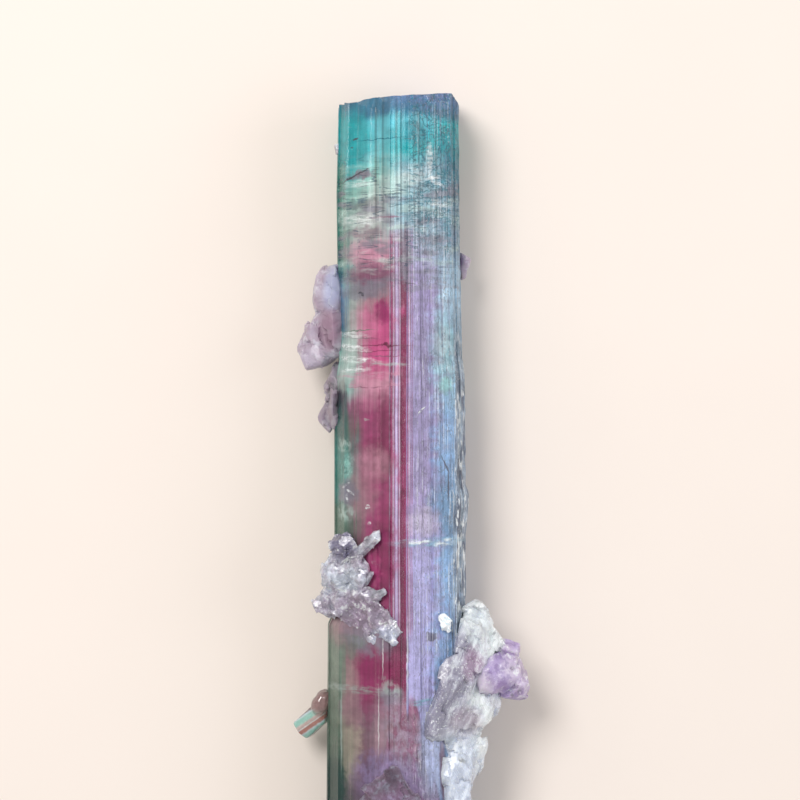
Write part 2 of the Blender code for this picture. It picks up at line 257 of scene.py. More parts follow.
def prism_points():
    """Rings of points from the middle of the foot, along the sides, to the middle of the tip."""
    shares, outward = fine_outline()
    count = len(shares)
    across, up = shares[:, 0], shares[:, 1]
    along = np.linspace(FOOT_Y, TIP_Y, ROWS)[:, None] + np.zeros(count)

    def place(along):
        right = read_profile(RIGHT_SIDE, along)
        left = read_profile(LEFT_SIDE, along)
        return np.where(across > 0, right, left) * across, up * depth_at(along)

    for _ in range(2):
        x, z = place(along)
        wave = rough(np.stack([x[-1], 0 * x[-1], z[-1]], axis=-1), 0.8, 7)
        tip = end_of_column(TIP_CUTS, x[-1], z[-1], np.min)
        tip = tip + TIP_STEPS * stria_levels(count, 5) + TIP_WAVE * wave
        foot = end_of_column(FOOT_CUTS, x[0], z[0], np.max)
        along = foot + (tip - foot) * np.linspace(0, 1, ROWS)[:, None]
    x, z = place(along)

    fade_seed = np.stack([np.arange(count) * 0.35 + 0 * along, along * 0.09, 0 * along], axis=-1)
    fade = 0.55 + 0.9 * rough(fade_seed, 1.0, 2)
    level = stria_levels(count, 9) * STRIA_DEPTH * np.clip(fade, 0, 1)
    frosted = np.clip((across - 0.90) / 0.04, 0, 1) * np.clip((up - 0.35) / 0.1, 0, 1)
    wrinkle_points = np.stack([x, along * 0.35, z], axis=-1)
    wrinkle = rough(wrinkle_points, 1.7, 4) * WRINKLE_DEPTH * frosted
    resting = (up < 0.001)[None, :]
    offset = np.where(resting, 0, level + wrinkle)
    x = x + offset * outward[:, 0]
    z = np.maximum(z + offset * outward[:, 1], 0)
    return np.stack([x, along, z], axis=-1)


def cap_points(rim, cuts, nearest, grain):
    """Rings that close an end, from its rim to its middle."""
    middle = np.array([0.0, DEPTH_TIP / 2])
    rings = []
    for share in np.linspace(1, 0, CAP_RINGS + 1)[1:-1] ** 1.5:
        x = middle[0] + (rim[:, 0] - middle[0]) * share
        z = middle[1] + (rim[:, 2] - middle[1]) * share
        y = end_of_column(cuts, x, z, nearest)
        ring = np.stack([x, y, z], axis=-1)
        ring[:, 1] += grain * rough(ring, 0.8, 6)
        rings.append(ring)
    return rings


def chip_front(points):
    """Presses what stands past the chip's plane down onto a rough surface."""
    point, normal = np.array(FRONT_CHIP[0]), np.array(FRONT_CHIP[1])
    normal = normal / np.linalg.norm(normal)
    past = (points - point) @ normal
    near = past > -0.3
    ripple = np.zeros(past.shape)
    streaked = points[near] * np.array([1.0, 0.45, 1.0])
    ripple[near] = 0.22 * rough(streaked, 0.9, 8) + 0.1 * rough(streaked, 2.3, 3)
    past = np.maximum(past + ripple, 0)
    return points - past[..., None] * normal


def build_prism():
    sides = prism_points()
    foot_rings = cap_points(sides[0], FOOT_CUTS, np.max, FOOT_GRAIN)
    tip_rings = cap_points(sides[-1], TIP_CUTS, np.min, TIP_GRAIN)
    rings = np.array(foot_rings[::-1] + list(sides) + tip_rings)
    rings = chip_front(rings)
    count = rings.shape[1]
    points = rings.reshape(-1, 3)
    foot_middle = rings[0].mean(axis=0)
    tip_middle = rings[-1].mean(axis=0)
    points = np.vstack([points, foot_middle, tip_middle]) * MM
    faces = []
    for ring in range(len(rings) - 1):
        base = ring * count
        for column in range(count):
            beside = (column + 1) % count
            faces.append((base + column, base + beside, base + count + beside, base + count + column))
    last = (len(rings) - 1) * count
    for column in range(count):
        beside = (column + 1) % count
        faces.append((beside, column, len(points) - 2))
        faces.append((last + column, last + beside, len(points) - 1))
    mesh = bpy.data.meshes.new("fine_tourmaline")
    mesh.from_pydata(points.tolist(), [], faces)
    mesh.update()
    piece = add_piece("fine_tourmaline", mesh)
    turn_faces_out(piece)
    shade(piece, PRISM_SHARP)
    return piece


def add_piece(name, mesh):
    piece = bpy.data.objects.new(name, mesh)
    bpy.context.scene.collection.objects.link(piece)
    return piece


@contextmanager
def editing(mesh):
    """Opens a mesh for editing, and writes it back afterwards."""
    bm = bmesh.new()
    bm.from_mesh(mesh)
    yield bm
    bm.to_mesh(mesh)
    bm.free()


def turn_faces_out(piece):
    with editing(piece.data) as bm:
        bmesh.ops.recalc_face_normals(bm, faces=bm.faces)


def shade(piece, sharp_degrees):
    piece.data.shade_smooth()
    piece.data.set_sharp_from_angle(angle=math.radians(sharp_degrees))


def voxel_mesh(mesh, voxel):
    """The same body as one even net of small faces."""
    holder = add_piece("holder", mesh)
    net = holder.modifiers.new("net", "REMESH")
    net.mode = "VOXEL"
    net.voxel_size = voxel * MM
    seen = holder.evaluated_get(bpy.context.evaluated_depsgraph_get())
    result = bpy.data.meshes.new_from_object(seen)
    bpy.data.objects.remove(holder)
    return result


def points_and_normals(mesh):
    """The places, in millimetres, and the outward directions of a mesh's points."""
    places = np.empty(len(mesh.vertices) * 3)
    normals = np.empty(len(mesh.vertices) * 3)
    mesh.vertices.foreach_get("co", places)
    mesh.vertex_normals.foreach_get("vector", normals)
    return places.reshape(-1, 3) / MM, normals.reshape(-1, 3)


def move_points(mesh, places):
    mesh.vertices.foreach_set("co", (places * MM).ravel())
    mesh.update()


def swell(mesh, distance):
    places, normals = points_and_normals(mesh)
    move_points(mesh, places + normals * distance)


def soften(mesh, rounds):
    with editing(mesh) as bm:
        for _ in range(rounds):
            bmesh.ops.smooth_vert(bm, verts=bm.verts, factor=0.5,
                                  use_axis_x=True, use_axis_y=True, use_axis_z=True)


def grown_together(node, voxel, crease, rounds):
    """A fine net over an attached mineral, with the creases between its grains filled."""
    bm = bmesh.new()
    bm.from_mesh(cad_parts[node].data)
    for place, half, turn in FILLS.get(node, ()):
        lean = Euler([math.radians(angle) for angle in turn]).to_matrix().to_4x4()
        stretch = Matrix.Diagonal([size * MM for size in half] + [1])
        ball = Matrix.Translation(Vector(place) * MM) @ lean @ stretch
        bmesh.ops.create_icosphere(bm, subdivisions=3, radius=1.0, matrix=ball)
    mesh = bpy.data.meshes.new(node)
    bm.to_mesh(mesh)
    bm.free()
    mesh = voxel_mesh(mesh, voxel * 1.5)
    swell(mesh, crease)
    mesh = voxel_mesh(mesh, voxel * 1.5)
    soften(mesh, 2)
    swell(mesh, -crease)
    mesh = voxel_mesh(mesh, voxel)
    soften(mesh, 1 + rounds)
    return mesh


def slim_rods(mesh, rods):
    """Draws the net in towards each rod's axis, so that the sharp prism covers it."""
    places, _ = points_and_normals(mesh)
    for foot, point, width in rods:
        foot = np.array(foot)
        run = np.array(point) - foot
        share = (places - foot) @ run / (run @ run)
        on_axis = foot + np.clip(share, 0, 0.6)[:, None] * run
        away = places - on_axis
        near = (share > 0) & (np.linalg.norm(away, axis=1) < 1.1 * width)
        slimmed = on_axis + away * np.clip(1 - 2 * share, 0.4, 1)[:, None]
        places = np.where(near[:, None], slimmed, places)
    move_points(mesh, places)


def settle(mesh, share):
    """Draws what stands on the lower left front closer to the tourmaline, towards the foot."""
    places, _ = points_and_normals(mesh)
    depth = depth_at(places[:, 1])
    left = depth * np.interp(places[:, 0], (-7.7, -1.3), (0.70, 0.965))
    point, normal = FRONT_CHIP
    sideways = (places[:, 0] - point[0]) * normal[0]
    lengthways = (places[:, 1] - point[1]) * normal[1]
    chip = point[2] - (sideways + lengthways) / normal[2]
    above = np.maximum(places[:, 2] - np.minimum(left, chip), 0)
    fade = np.clip((-11.0 - places[:, 1]) / 3.0, 0, 1) * np.clip((places[:, 0] + 8.5) / 1.5, 0, 1)
    places[:, 2] -= above * fade * share
    move_points(mesh, places)


def pointing(place, direction):
    """The turn and shift that put a shape at a place with its Z axis along a direction."""
    return Matrix.Translation(place) @ direction.to_track_quat("Z", "X").to_matrix().to_4x4()


def add_prisms(mesh, rods, seed):
    dice = random.Random(seed)
    with editing(mesh) as bm:
        for foot, point, width in rods:
            run = Vector(point) - Vector(foot)
            place = pointing((Vector(point) + Vector(foot)) / 2 * MM, run)
            small_crystal(bm, place, width / 2 * MM, run.length * MM, dice, PRISM_SHOULDER)


def roughen(mesh, stretch, depth, seed):
    """Raises and sinks the surface with soft noise of the given grain per millimetre."""
    places, normals = points_and_normals(mesh)
    stretched = places * np.array(stretch)
    height = rough(stretched, 1.0, seed) + 0.4 * rough(stretched, 2.7, seed + 1)
    move_points(mesh, places + normals * (height * depth)[:, None])


def press_facets(mesh, size, tilt, deepest, raised, seed):
    """Presses the surface onto flat facets, the lowest of the nearest three at each point."""
    dice = random.Random(seed)
    places, normals = points_and_normals(mesh)
    order = list(range(len(places)))
    dice.shuffle(order)
    chosen = {}
    for index in order:
        cell = tuple(np.floor(places[index] / size).astype(int))
        chosen.setdefault(cell, index)
    middles = list(chosen.values())
    tree = kdtree.KDTree(len(middles))
    for number, index in enumerate(middles):
        tree.insert(places[index], number)
    tree.balance()
    facing = normals[middles] + tilt * np.array([[dice.gauss(0, 1) for _ in range(3)] for _ in middles])
    facing /= np.linalg.norm(facing, axis=1, keepdims=True)
    origins = places[middles]
    closest = np.array([[found[1] for found in tree.find_n(place, 3)] for place in places])
    lowest = np.full(len(places), np.inf)
    for column in closest.T:
        slope = np.maximum((normals * facing[column]).sum(axis=1), 0.35)
        rise = ((origins[column] - places) * facing[column]).sum(axis=1) / slope
        lowest = np.minimum(lowest, rise)
    shift = np.clip(lowest, -deepest, deepest) + raised
    move_points(mesh, places + normals * shift[:, None])


def bevelled_copy(node, width):
    """A copy of a node with its sharp edges worn round."""
    piece = add_piece(f"fine_{node}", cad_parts[node].data.copy())
    with editing(piece.data) as bm:
        bmesh.ops.dissolve_limit(bm, angle_limit=math.radians(2), verts=bm.verts, edges=bm.edges)
        sharp = [edge for edge in bm.edges if edge.calc_face_angle(0) > math.radians(15)]
        bmesh.ops.bevel(bm, geom=sharp, offset=width * MM, segments=3, affect="EDGES")
    shade(piece, WORN_SHARP)
    return piece


def round_rod(node):
    """The small side crystal with rounded flutes."""
    mesh = grown_together(node, 0.11, 0.15, 4)
    roughen(mesh, (0.8, 0.8, 0.8), 0.12, 5)
    piece = add_piece(f"fine_{node}", mesh)
    turn_faces_out(piece)
    shade(piece, WORN_SHARP)
    return piece


def small_crystal(bm, place, width, length, dice, shoulder):
    """A short prism of five or six sides with a leaning point."""
    sides = dice.choice((5, 6))
    turns = [index * math.tau / sides + dice.uniform(-0.2, 0.2) for index in range(sides)]
    rings = []
    for height, share in ((-0.5, 1.0), (shoulder, 0.92)):
        ring = [Vector((math.cos(turn) * share * width, math.sin(turn) * share * width, height * length))
                for turn in turns]
        rings.append([bm.verts.new(place @ point) for point in ring])
    lean = Vector((dice.uniform(-0.35, 0.35) * width, dice.uniform(-0.35, 0.35) * width, 0.5 * length))
    point = bm.verts.new(place @ lean)
    for index in range(sides):
        beside = (index + 1) % sides
        bm.faces.new((rings[0][index], rings[0][beside], rings[1][beside], rings[1][index]))
        bm.faces.new((rings[1][index], rings[1][beside], point))
    bm.faces.new(rings[0][::-1])


def scatter_crystals(carrier, count, widths, stretch, seed):
    """Adds small crystals that stand out of a mineral's upper surface."""
    dice = random.Random(seed)
    faces = [face for face in carrier.polygons if face.normal.z > -0.2]
    chosen = dice.choices(faces, [face.area for face in faces], k=count)
    with editing(carrier) as bm:
        for face in chosen:
            width = dice.uniform(*widths) * MM
            length = width * dice.uniform(1.2, stretch)
            axis = (face.normal + Vector([dice.gauss(0, 0.55) for _ in range(3)])).normalized()
            small_crystal(bm, pointing(face.center, axis), width / 2, length, dice, CRYSTAL_SHOULDER)


def linear(red, green, blue):
    """A colour given as it looks on screen, 0 to 255, as the shader wants it."""
    return tuple(
        part / 255 / 12.92 if part <= 10 else ((part / 255 + 0.055) / 1.055) ** 2.4
        for part in (red, green, blue)
    ) + (1.0,)


def halfway(first, second):
    return tuple((one + other) / 2 for one, other in zip(first, second))


class Shader:
    """Builds a material's nodes with few words. Values may be numbers or other nodes' outputs."""

    def __init__(self, name):
        self.material = bpy.data.materials.new(name)
        self.material.use_nodes = True
        self.tree = self.material.node_tree
        self.surface = self.tree.nodes["Principled BSDF"]
        place = self.add("ShaderNodeTexCoord").outputs["Object"]
        self.mm = self.vector("SCALE", place, scale=1000.0)
        self.x, self.y, self.z = self.node("SeparateXYZ", self.mm).outputs

    def add(self, kind):
        return self.tree.nodes.new(kind)

    def join(self, value, socket):
        if isinstance(value, bpy.types.NodeSocket):
            self.tree.links.new(value, socket)
        else:
            socket.default_value = value

    def node(self, kind, *values, **settings):
        """A node with its settings. Values go to its inputs in order, and None leaves one as it is."""
        made = self.add("ShaderNode" + kind)
        for name, setting in settings.items():
            setattr(made, name, setting)
        for value, socket in zip(values, made.inputs):
            if value is not None:
                self.join(value, socket)
        return made

    def math(self, operation, *values):
        return self.node("Math", *values, operation=operation).outputs[0]

    def vector(self, operation, first, second=None, third=None, scale=None):
        made = self.node("VectorMath", first, second, third, scale, operation=operation)
        return made.outputs["Value" if operation in ("LENGTH", "DOT_PRODUCT") else "Vector"]

    def spread(self, value, low, high, bottom=0.0, top=1.0, smooth=True):
        """Maps low..high to bottom..top, with a soft start and end."""
        kind = "SMOOTHSTEP" if smooth else "LINEAR"
        return self.node("MapRange", value, low, high, bottom, top, interpolation_type=kind).outputs[0]

    def band(self, value, low, high, soft):
        rise = self.spread(value, low - soft, low + soft)
        fall = self.spread(value, high - soft, high + soft, 1.0, 0.0)
        return self.math("MULTIPLY", rise, fall)

    def noise(self, stretch, detail=3.0, roughness=0.55, seed=0.0, coords=None):
        """Noise whose grain per millimetre is one number, or is given for X, Y and Z."""
        grain = stretch if isinstance(stretch, tuple) else (stretch,) * 3
        scaled = self.vector("MULTIPLY", coords or self.mm, grain)
        moved = self.vector("ADD", scaled, (seed * 13.7, seed * 7.1, seed * 3.3))
        return self.node("TexNoise", moved, None, 1.0, detail, roughness).outputs["Fac"]

    def ramp(self, value, stops):
        made = self.add("ShaderNodeValToRGB")
        self.join(value, made.inputs[0])
        elements = made.color_ramp.elements
        while len(elements) < len(stops):
            elements.new(0.5)
        for element, (position, colour) in zip(elements, sorted(stops)):
            element.position = position
            element.color = colour
        return made.outputs["Color"]

    def value_ramp(self, value, stops):
        """A ramp of plain values, kept in the stops' alpha."""
        made = self.ramp(value, [(position, (1, 1, 1, level)) for position, level in stops])
        return made.node.outputs["Alpha"]

    def mix(self, share, first, second):
        """Mixes two colours."""
        unused = [None] * 5
        made = self.node("Mix", share, *unused, first, second, data_type="RGBA", clamp_factor=True)
        return made.outputs[2]

    def blend(self, share, first, second):
        """Mixes two plain values."""
        return self.node("Mix", share, None, first, second, data_type="FLOAT", clamp_factor=True).outputs[0]

    def threads(self, field, level, width):
        """Thin wandering lines where a noise passes through one value."""
        away = self.math("ABSOLUTE", self.math("SUBTRACT", field, level))
        return self.spread(away, width * 0.4, width, 1.0, 0.0)

    def times(self, *factors):
        product = factors[0]
        for factor in factors[1:]:
            product = self.math("MULTIPLY", product, factor)
        return product

    def most(self, *values):
        """The largest of several plain values."""
        largest = values[0]
        for value in values[1:]:
            largest = self.math("MAXIMUM", largest, value)
        return largest

    def sway(self, value, field, amount):
        """Shifts a value to and fro with a noise, by half the amount at the most."""
        return self.math("MULTIPLY_ADD", self.math("SUBTRACT", field, 0.5), amount, value)

    def bump(self, height, distance, under=None):
        made = self.add("ShaderNodeBump")
        self.join(height, made.inputs["Height"])
        made.inputs["Distance"].default_value = distance * MM
        made.inputs["Strength"].default_value = 1.0
        if under is not None:
            self.join(under, made.inputs["Normal"])
        return made.outputs[0]

    def faceted(self, size, lean, seed=0.0):
        """The surface direction broken into small flat faces, about size millimetres wide."""
        scaled = self.vector("SCALE", self.mm, scale=1 / size)
        made = self.add("ShaderNodeTexVoronoi")
        self.join(self.vector("ADD", scaled, (seed * 5.7, seed * 9.1, seed * 4.3)), made.inputs["Vector"])
        made.inputs["Scale"].default_value = 1.0
        centred = self.vector("SUBTRACT", made.outputs["Color"], (0.5, 0.5, 0.5))
        push = self.vector("SCALE", centred, scale=lean)
        return self.vector("NORMALIZE", self.vector("ADD", self.facing(), push))

    def facing(self):
        """The direction that the surface faces."""
        return self.add("ShaderNodeNewGeometry").outputs["Normal"]

    def patch(self, place, x, y, half_x, half_y, turn, soft, strength=1.0):
        """A soft-edged oval at (x, y) on the front of the crystal, 0 outside and strength inside."""
        if turn:
            angle = -math.radians(turn)
            turned = self.node("VectorRotate", place, (x, y, 0), None, angle, rotation_type="Z_AXIS")
            place = turned.outputs[0]
        scale, shift = (1 / half_x, 1 / half_y, 0), (-x / half_x, -y / half_y, 0)
        reach = self.vector("MULTIPLY_ADD", place, scale, shift)
        square = self.vector("DOT_PRODUCT", reach, reach)
        return self.spread(square, (1 - soft) ** 2, (1 + soft) ** 2, strength, 0.0)

    def brighten(self, colour, factor):
        """Multiplies a colour by a plain value."""
        made = self.add("ShaderNodeHueSaturation")
        self.join(factor, made.inputs["Value"])
        self.join(colour, made.inputs["Color"])
        return made.outputs[0]

    def place_along(self, right, up, stretch_right, stretch_up, stretch_deep):
        """Coordinates turned so that the second one runs along (right, up), and stretched."""
        beside = self.vector("DOT_PRODUCT", self.mm, (up * stretch_right, -right * stretch_right, 0))
        ahead = self.vector("DOT_PRODUCT", self.mm, (right * stretch_up, up * stretch_up, 0))
        return self.combined(beside, ahead, self.math("MULTIPLY", self.z, stretch_deep))

    def combined(self, *parts):
        """A vector made of its parts."""
        return self.node("CombineXYZ", *parts).outputs[0]

    def set(self, **values):
        for name, value in values.items():
            self.join(value, self.surface.inputs[name.replace("_", " ")])

    def absorb(self, colour, density):
        made = self.add("ShaderNodeVolumeAbsorption")
        made.inputs["Color"].default_value = colour
        made.inputs["Density"].default_value = density
        output = self.tree.nodes["Material Output"]
        self.tree.links.new(made.outputs[0], output.inputs["Volume"])


# Colours as they look on screen.
SLATE = linear(56, 118, 148)
INDIGO = linear(92, 122, 172)
DEEP_TEAL = linear(16, 118, 138)
TEAL = linear(14, 172, 180)
CYAN = linear(98, 190, 206)
AQUA = linear(120, 196, 204)
MINT = linear(146, 204, 194)
ICE = linear(148, 192, 212)
CREAM = linear(184, 190, 188)
PEARL = linear(142, 182, 196)
PALE_LILAC = linear(206, 196, 222)
LILAC = linear(168, 154, 202)
LAVENDER = linear(180, 176, 226)
SKY = linear(134, 172, 214)
STEEL = linear(106, 142, 178)
MAUVE = linear(140, 86, 116)
ROSE = linear(216, 152, 178)
PINK = linear(206, 84, 142)
MAGENTA = linear(150, 30, 98)
RASPBERRY = linear(164, 70, 118)
CRIMSON = linear(140, 38, 90)
WINE = linear(112, 26, 68)
GREY_ROSE = linear(172, 128, 142)
RIND = linear(54, 128, 116)
MOSS = linear(92, 122, 108)
OLIVE = linear(152, 148, 132)
PINE = linear(14, 62, 56)
FOG = linear(168, 182, 178)
WHITE = linear(240, 246, 248)
FROST = linear(188, 212, 206)
SEA = linear(78, 142, 136)
SHADE = linear(72, 68, 80)
ASH = linear(134, 132, 148)
PLUM = linear(112, 90, 128)

# Patches of these colours are frosted as well: dull, and hardly see-through.
FROSTED_TINTS = (WHITE, MINT, ICE, PEARL)

# Colours by distance along the crystal, in millimetres, for the strips that run side by side.
RIM_COLOURS = (
    (57.0, SLATE), (54.0, TEAL), (46.0, RIND), (34.0, RIND), (29.0, STEEL), (25.0, SLATE),
    (22.5, MINT), (17.5, FOG), (15.8, SHADE), (13.0, RIND), (6.0, SEA), (1.5, SEA), (-0.5, MOSS),
    (-4.0, MOSS), (-14.0, MOSS), (-20.0, linear(126, 144, 130)), (-30.0, linear(86, 110, 94)),
    (-40.0, PINE),
)
EDGE_COLOURS = (
    (57.0, SLATE), (54.2, TEAL), (48.5, TEAL), (44.5, MINT), (38.0, FOG), (32.0, MINT), (28.0, FOG),
    (24.0, FOG), (18.0, MINT), (15.5, MAUVE), (12.0, MOSS), (8.0, SEA), (4.0, FOG), (-1.0, MOSS),
    (-15.0, GREY_ROSE), (-26.0, halfway(OLIVE, GREY_ROSE)), (-36.0, OLIVE), (-42.0, PINE),
)
CORE_COLOURS = (
    (57.0, SLATE), (54.8, SLATE), (54.0, CYAN), (49.5, AQUA), (46.5, MINT), (42.5, CREAM),
    (38.5, CREAM), (36.0, ROSE), (32.5, MAUVE), (29.2, GREY_ROSE), (27.5, PINK), (21.0, PINK),
    (17.5, ROSE), (14.5, RASPBERRY), (-12.0, RASPBERRY), (-24.0, halfway(RASPBERRY, CRIMSON)),
    (-30.0, GREY_ROSE), (-45.0, MAUVE),
)
SATIN_COLOURS = (
    (57.0, INDIGO), (54.6, SLATE), (53.8, CYAN), (49.5, TEAL), (46.0, PEARL), (41.0, PEARL),
    (36.0, linear(178, 190, 208)), (31.0, LILAC), (24.0, linear(158, 148, 190)),
    (10.0, linear(162, 150, 196)), (0.0, LILAC), (-8.0, LAVENDER), (-30.0, LAVENDER), (-45.0, SKY),
)
BLUE_COLOURS = (
    (57.0, INDIGO), (54.4, SLATE), (53.4, TEAL), (47.0, DEEP_TEAL), (43.0, linear(126, 164, 182)),
    (36.0, linear(136, 166, 190)), (30.0, linear(172, 206, 230)), (22.0, linear(120, 160, 184)),
    (18.0, ICE), (12.0, SKY), (-3.0, STEEL), (-8.0, SKY), (-24.0, SKY), (-40.0, STEEL),
)
# Colours by distance across, in millimetres, for the ridge in mid-length: pink and lilac strips, with pale
# lilac lines that are painted highlights on the ridge's edges.
RIDGE_COLOURS_AND_HIGHLIGHTS = (
    (-1.75, RASPBERRY), (-1.40, CRIMSON), (-1.22, PALE_LILAC), (-1.08, RASPBERRY), (-0.88, MAUVE),
    (-0.74, PALE_LILAC), (-0.60, MAUVE), (-0.44, LILAC), (-0.30, PALE_LILAC), (-0.16, LILAC),
    (-0.02, MAUVE), (0.12, PALE_LILAC), (0.24, CRIMSON), (0.60, WINE), (0.95, CRIMSON),
    (1.08, LILAC), (1.20, RASPBERRY), (1.40, PALE_LILAC), (1.50, MAUVE), (1.68, LILAC), (1.80, MAUVE),
    (1.95, LILAC),
)
# Colours of the broken foot, by share of the way from its middle to its rim.
FOOT_ZONES = ((0.0, PINK), (0.45, RASPBERRY), (0.62, ROSE), (0.72, CREAM), (0.80, MINT), (0.92, RIND))
# How bright the long stripes of the tip end are, by distance across in millimetres.
TIP_STRIPES = (
    (-4.50, 0.50), (-4.25, 0.64), (-3.45, 0.66), (-3.26, 0.32), (-3.12, 0.32), (-2.92, 0.60),
    (-2.42, 0.58), (-2.28, 0.32), (-2.14, 0.34), (-1.92, 0.54), (-0.95, 0.60), (-0.55, 0.56),
    (-0.40, 0.30), (-0.26, 0.32), (-0.10, 0.60), (0.16, 0.56), (0.30, 0.36), (0.46, 0.60),
    (1.20, 0.62), (1.38, 0.40), (1.56, 0.56), (2.20, 0.50),
)

# Soft patches on the front: x, y, half width, half height, turn, softness, colour, strength.
CLOUDS = (
    # the teal end and the smears below it
    (-6.2, 51.0, 2.4, 3.0, 0, 0.5, TEAL, 0.75),
    (2.3, 51.8, 1.1, 1.9, 0, 0.5, DEEP_TEAL, 0.6),
    (-4.9, 46.1, 1.3, 0.5, 6, 0.6, MAUVE, 0.7),
    (-5.5, 42.1, 2.2, 0.6, 4, 0.6, SHADE, 0.5),
    (-4.7, 38.1, 2.1, 0.7, 4, 0.6, MAUVE, 0.5),
    (-0.5, 44.6, 1.6, 1.2, 0, 0.9, FROST, 0.6),
    (5.0, 46.0, 1.6, 2.6, 0, 0.6, PEARL, 0.45),
    (6.6, 47.4, 0.35, 1.6, 0, 0.5, DEEP_TEAL, 0.8),
    (6.6, 38.2, 0.25, 3.2, 0, 0.5, DEEP_TEAL, 0.6),
    # the first pink, and the grey band under it
    (-4.3, 35.2, 2.2, 1.2, 0, 0.8, ROSE, 0.75),
    (-4.2, 32.2, 2.4, 1.4, 6, 0.8, MAUVE, 0.9),
    (-4.7, 30.1, 2.9, 1.0, 4, 0.5, ASH, 0.75),
    (-5.1, 29.9, 0.45, 0.2, -10, 0.3, SHADE, 1.0),
    (-2.2, 27.3, 0.9, 1.5, 0, 0.5, MAGENTA, 0.85),
    (-4.3, 25.5, 1.4, 2.4, 0, 0.5, ROSE, 0.35),
    (-1.9, 22.6, 0.45, 0.4, 0, 0.5, WINE, 0.95),
    (-6.9, 21.6, 0.9, 1.8, 0, 0.8, FROST, 0.8),
    (-7.2, 18.7, 0.7, 1.0, 20, 0.8, FROST, 0.8),
    (-3.7, 17.4, 2.3, 0.6, 0, 0.5, ROSE, 0.85),
    (0.9, 34.6, 0.7, 3.2, 0, 0.6, ASH, 0.8),
    # the long raspberry stretch
    (-1.9, 9.8, 0.8, 6.0, 0, 0.5, WINE, 0.6),
    (-4.5, 12.4, 0.4, 0.16, 0, 0.5, CREAM, 0.5),
    (-3.6, 8.7, 2.0, 1.0, 0, 0.5, CRIMSON, 0.5),
    (-3.8, 6.2, 2.0, 1.7, 0, 0.9, GREY_ROSE, 0.6),
    (-5.2, 1.8, 1.9, 2.4, 0, 0.6, GREY_ROSE, 0.6),
    (-8.0, 12.0, 0.9, 2.4, 0, 0.9, SHADE, 0.45),
    (-8.4, 4.0, 0.6, 1.2, 0, 0.9, RIND, 0.7),
    (-7.1, 2.2, 1.0, 1.3, 0, 0.8, ASH, 0.8),
    (-1.9, -6.5, 1.1, 6.5, 0, 0.5, CRIMSON, 0.8),
    (-3.4, -7.8, 0.9, 2.8, 0, 0.3, PINK, 0.5),
    (-6.2, -15.4, 3.2, 3.4, 0, 0.6, GREY_ROSE, 0.8),
    (-3.6, -17.4, 3.4, 2.4, -30, 0.7, ASH, 0.75),
    (-6.2, -19.0, 1.8, 1.4, 0, 0.6, MOSS, 0.6),
    # the healed fracture and the streaky end below it
    (-3.4, -21.2, 2.2, 1.9, 0, 0.5, CRIMSON, 0.8),
    (0.0, -20.6, 1.0, 4.2, 0, 0.4, WINE, 0.75),
    (-1.2, -25.4, 1.5, 1.1, 0, 0.6, ASH, 0.8),
    (-6.5, -31.4, 1.2, 4.0, 0, 0.8, OLIVE, 0.6),
    (-5.6, -27.6, 1.9, 2.0, 0, 0.7, MAUVE, 0.6),
    (-4.3, -33.6, 0.8, 5.0, 0, 0.7, halfway(WINE, SHADE), 0.6),
    (-6.2, -41.0, 2.8, 3.0, 0, 0.7, SHADE, 0.75),
    (-4.2, -27.6, 0.6, 2.4, 0, 0.5, CRIMSON, 0.6),
    (-9.1, -38.6, 1.5, 3.2, 0, 0.5, PINE, 1.0),
    (-1.6, -37.2, 4.2, 3.4, 0, 0.5, PLUM, 0.85),
    (-1.6, -29.5, 2.4, 3.4, 0, 0.8, ASH, 0.35),
    (-4.0, -23.0, 1.2, 3.4, 0, 0.7, MAGENTA, 0.55),
    # the satin face
    (2.6, 30.0, 0.8, 6.0, 0, 0.6, LILAC, 0.5),
    (6.0, 22.4, 1.3, 3.4, 0, 0.6, MINT, 0.3),
    (6.3, 17.0, 0.9, 0.9, 0, 0.5, MINT, 0.6),
    (6.7, 9.0, 0.9, 5.0, 0, 0.6, SKY, 0.5),
    (5.5, 1.2, 1.5, 2.2, 0, 0.6, STEEL, 0.6),
    (3.4, -1.6, 1.7, 1.6, 0, 0.6, PALE_LILAC, 0.7),
    (4.5, -17.4, 0.6, 0.5, 0, 0.4, SHADE, 0.75),
    (4.4, -33.0, 1.5, 5.6, 0, 0.6, halfway(SKY, PALE_LILAC), 0.8),
)
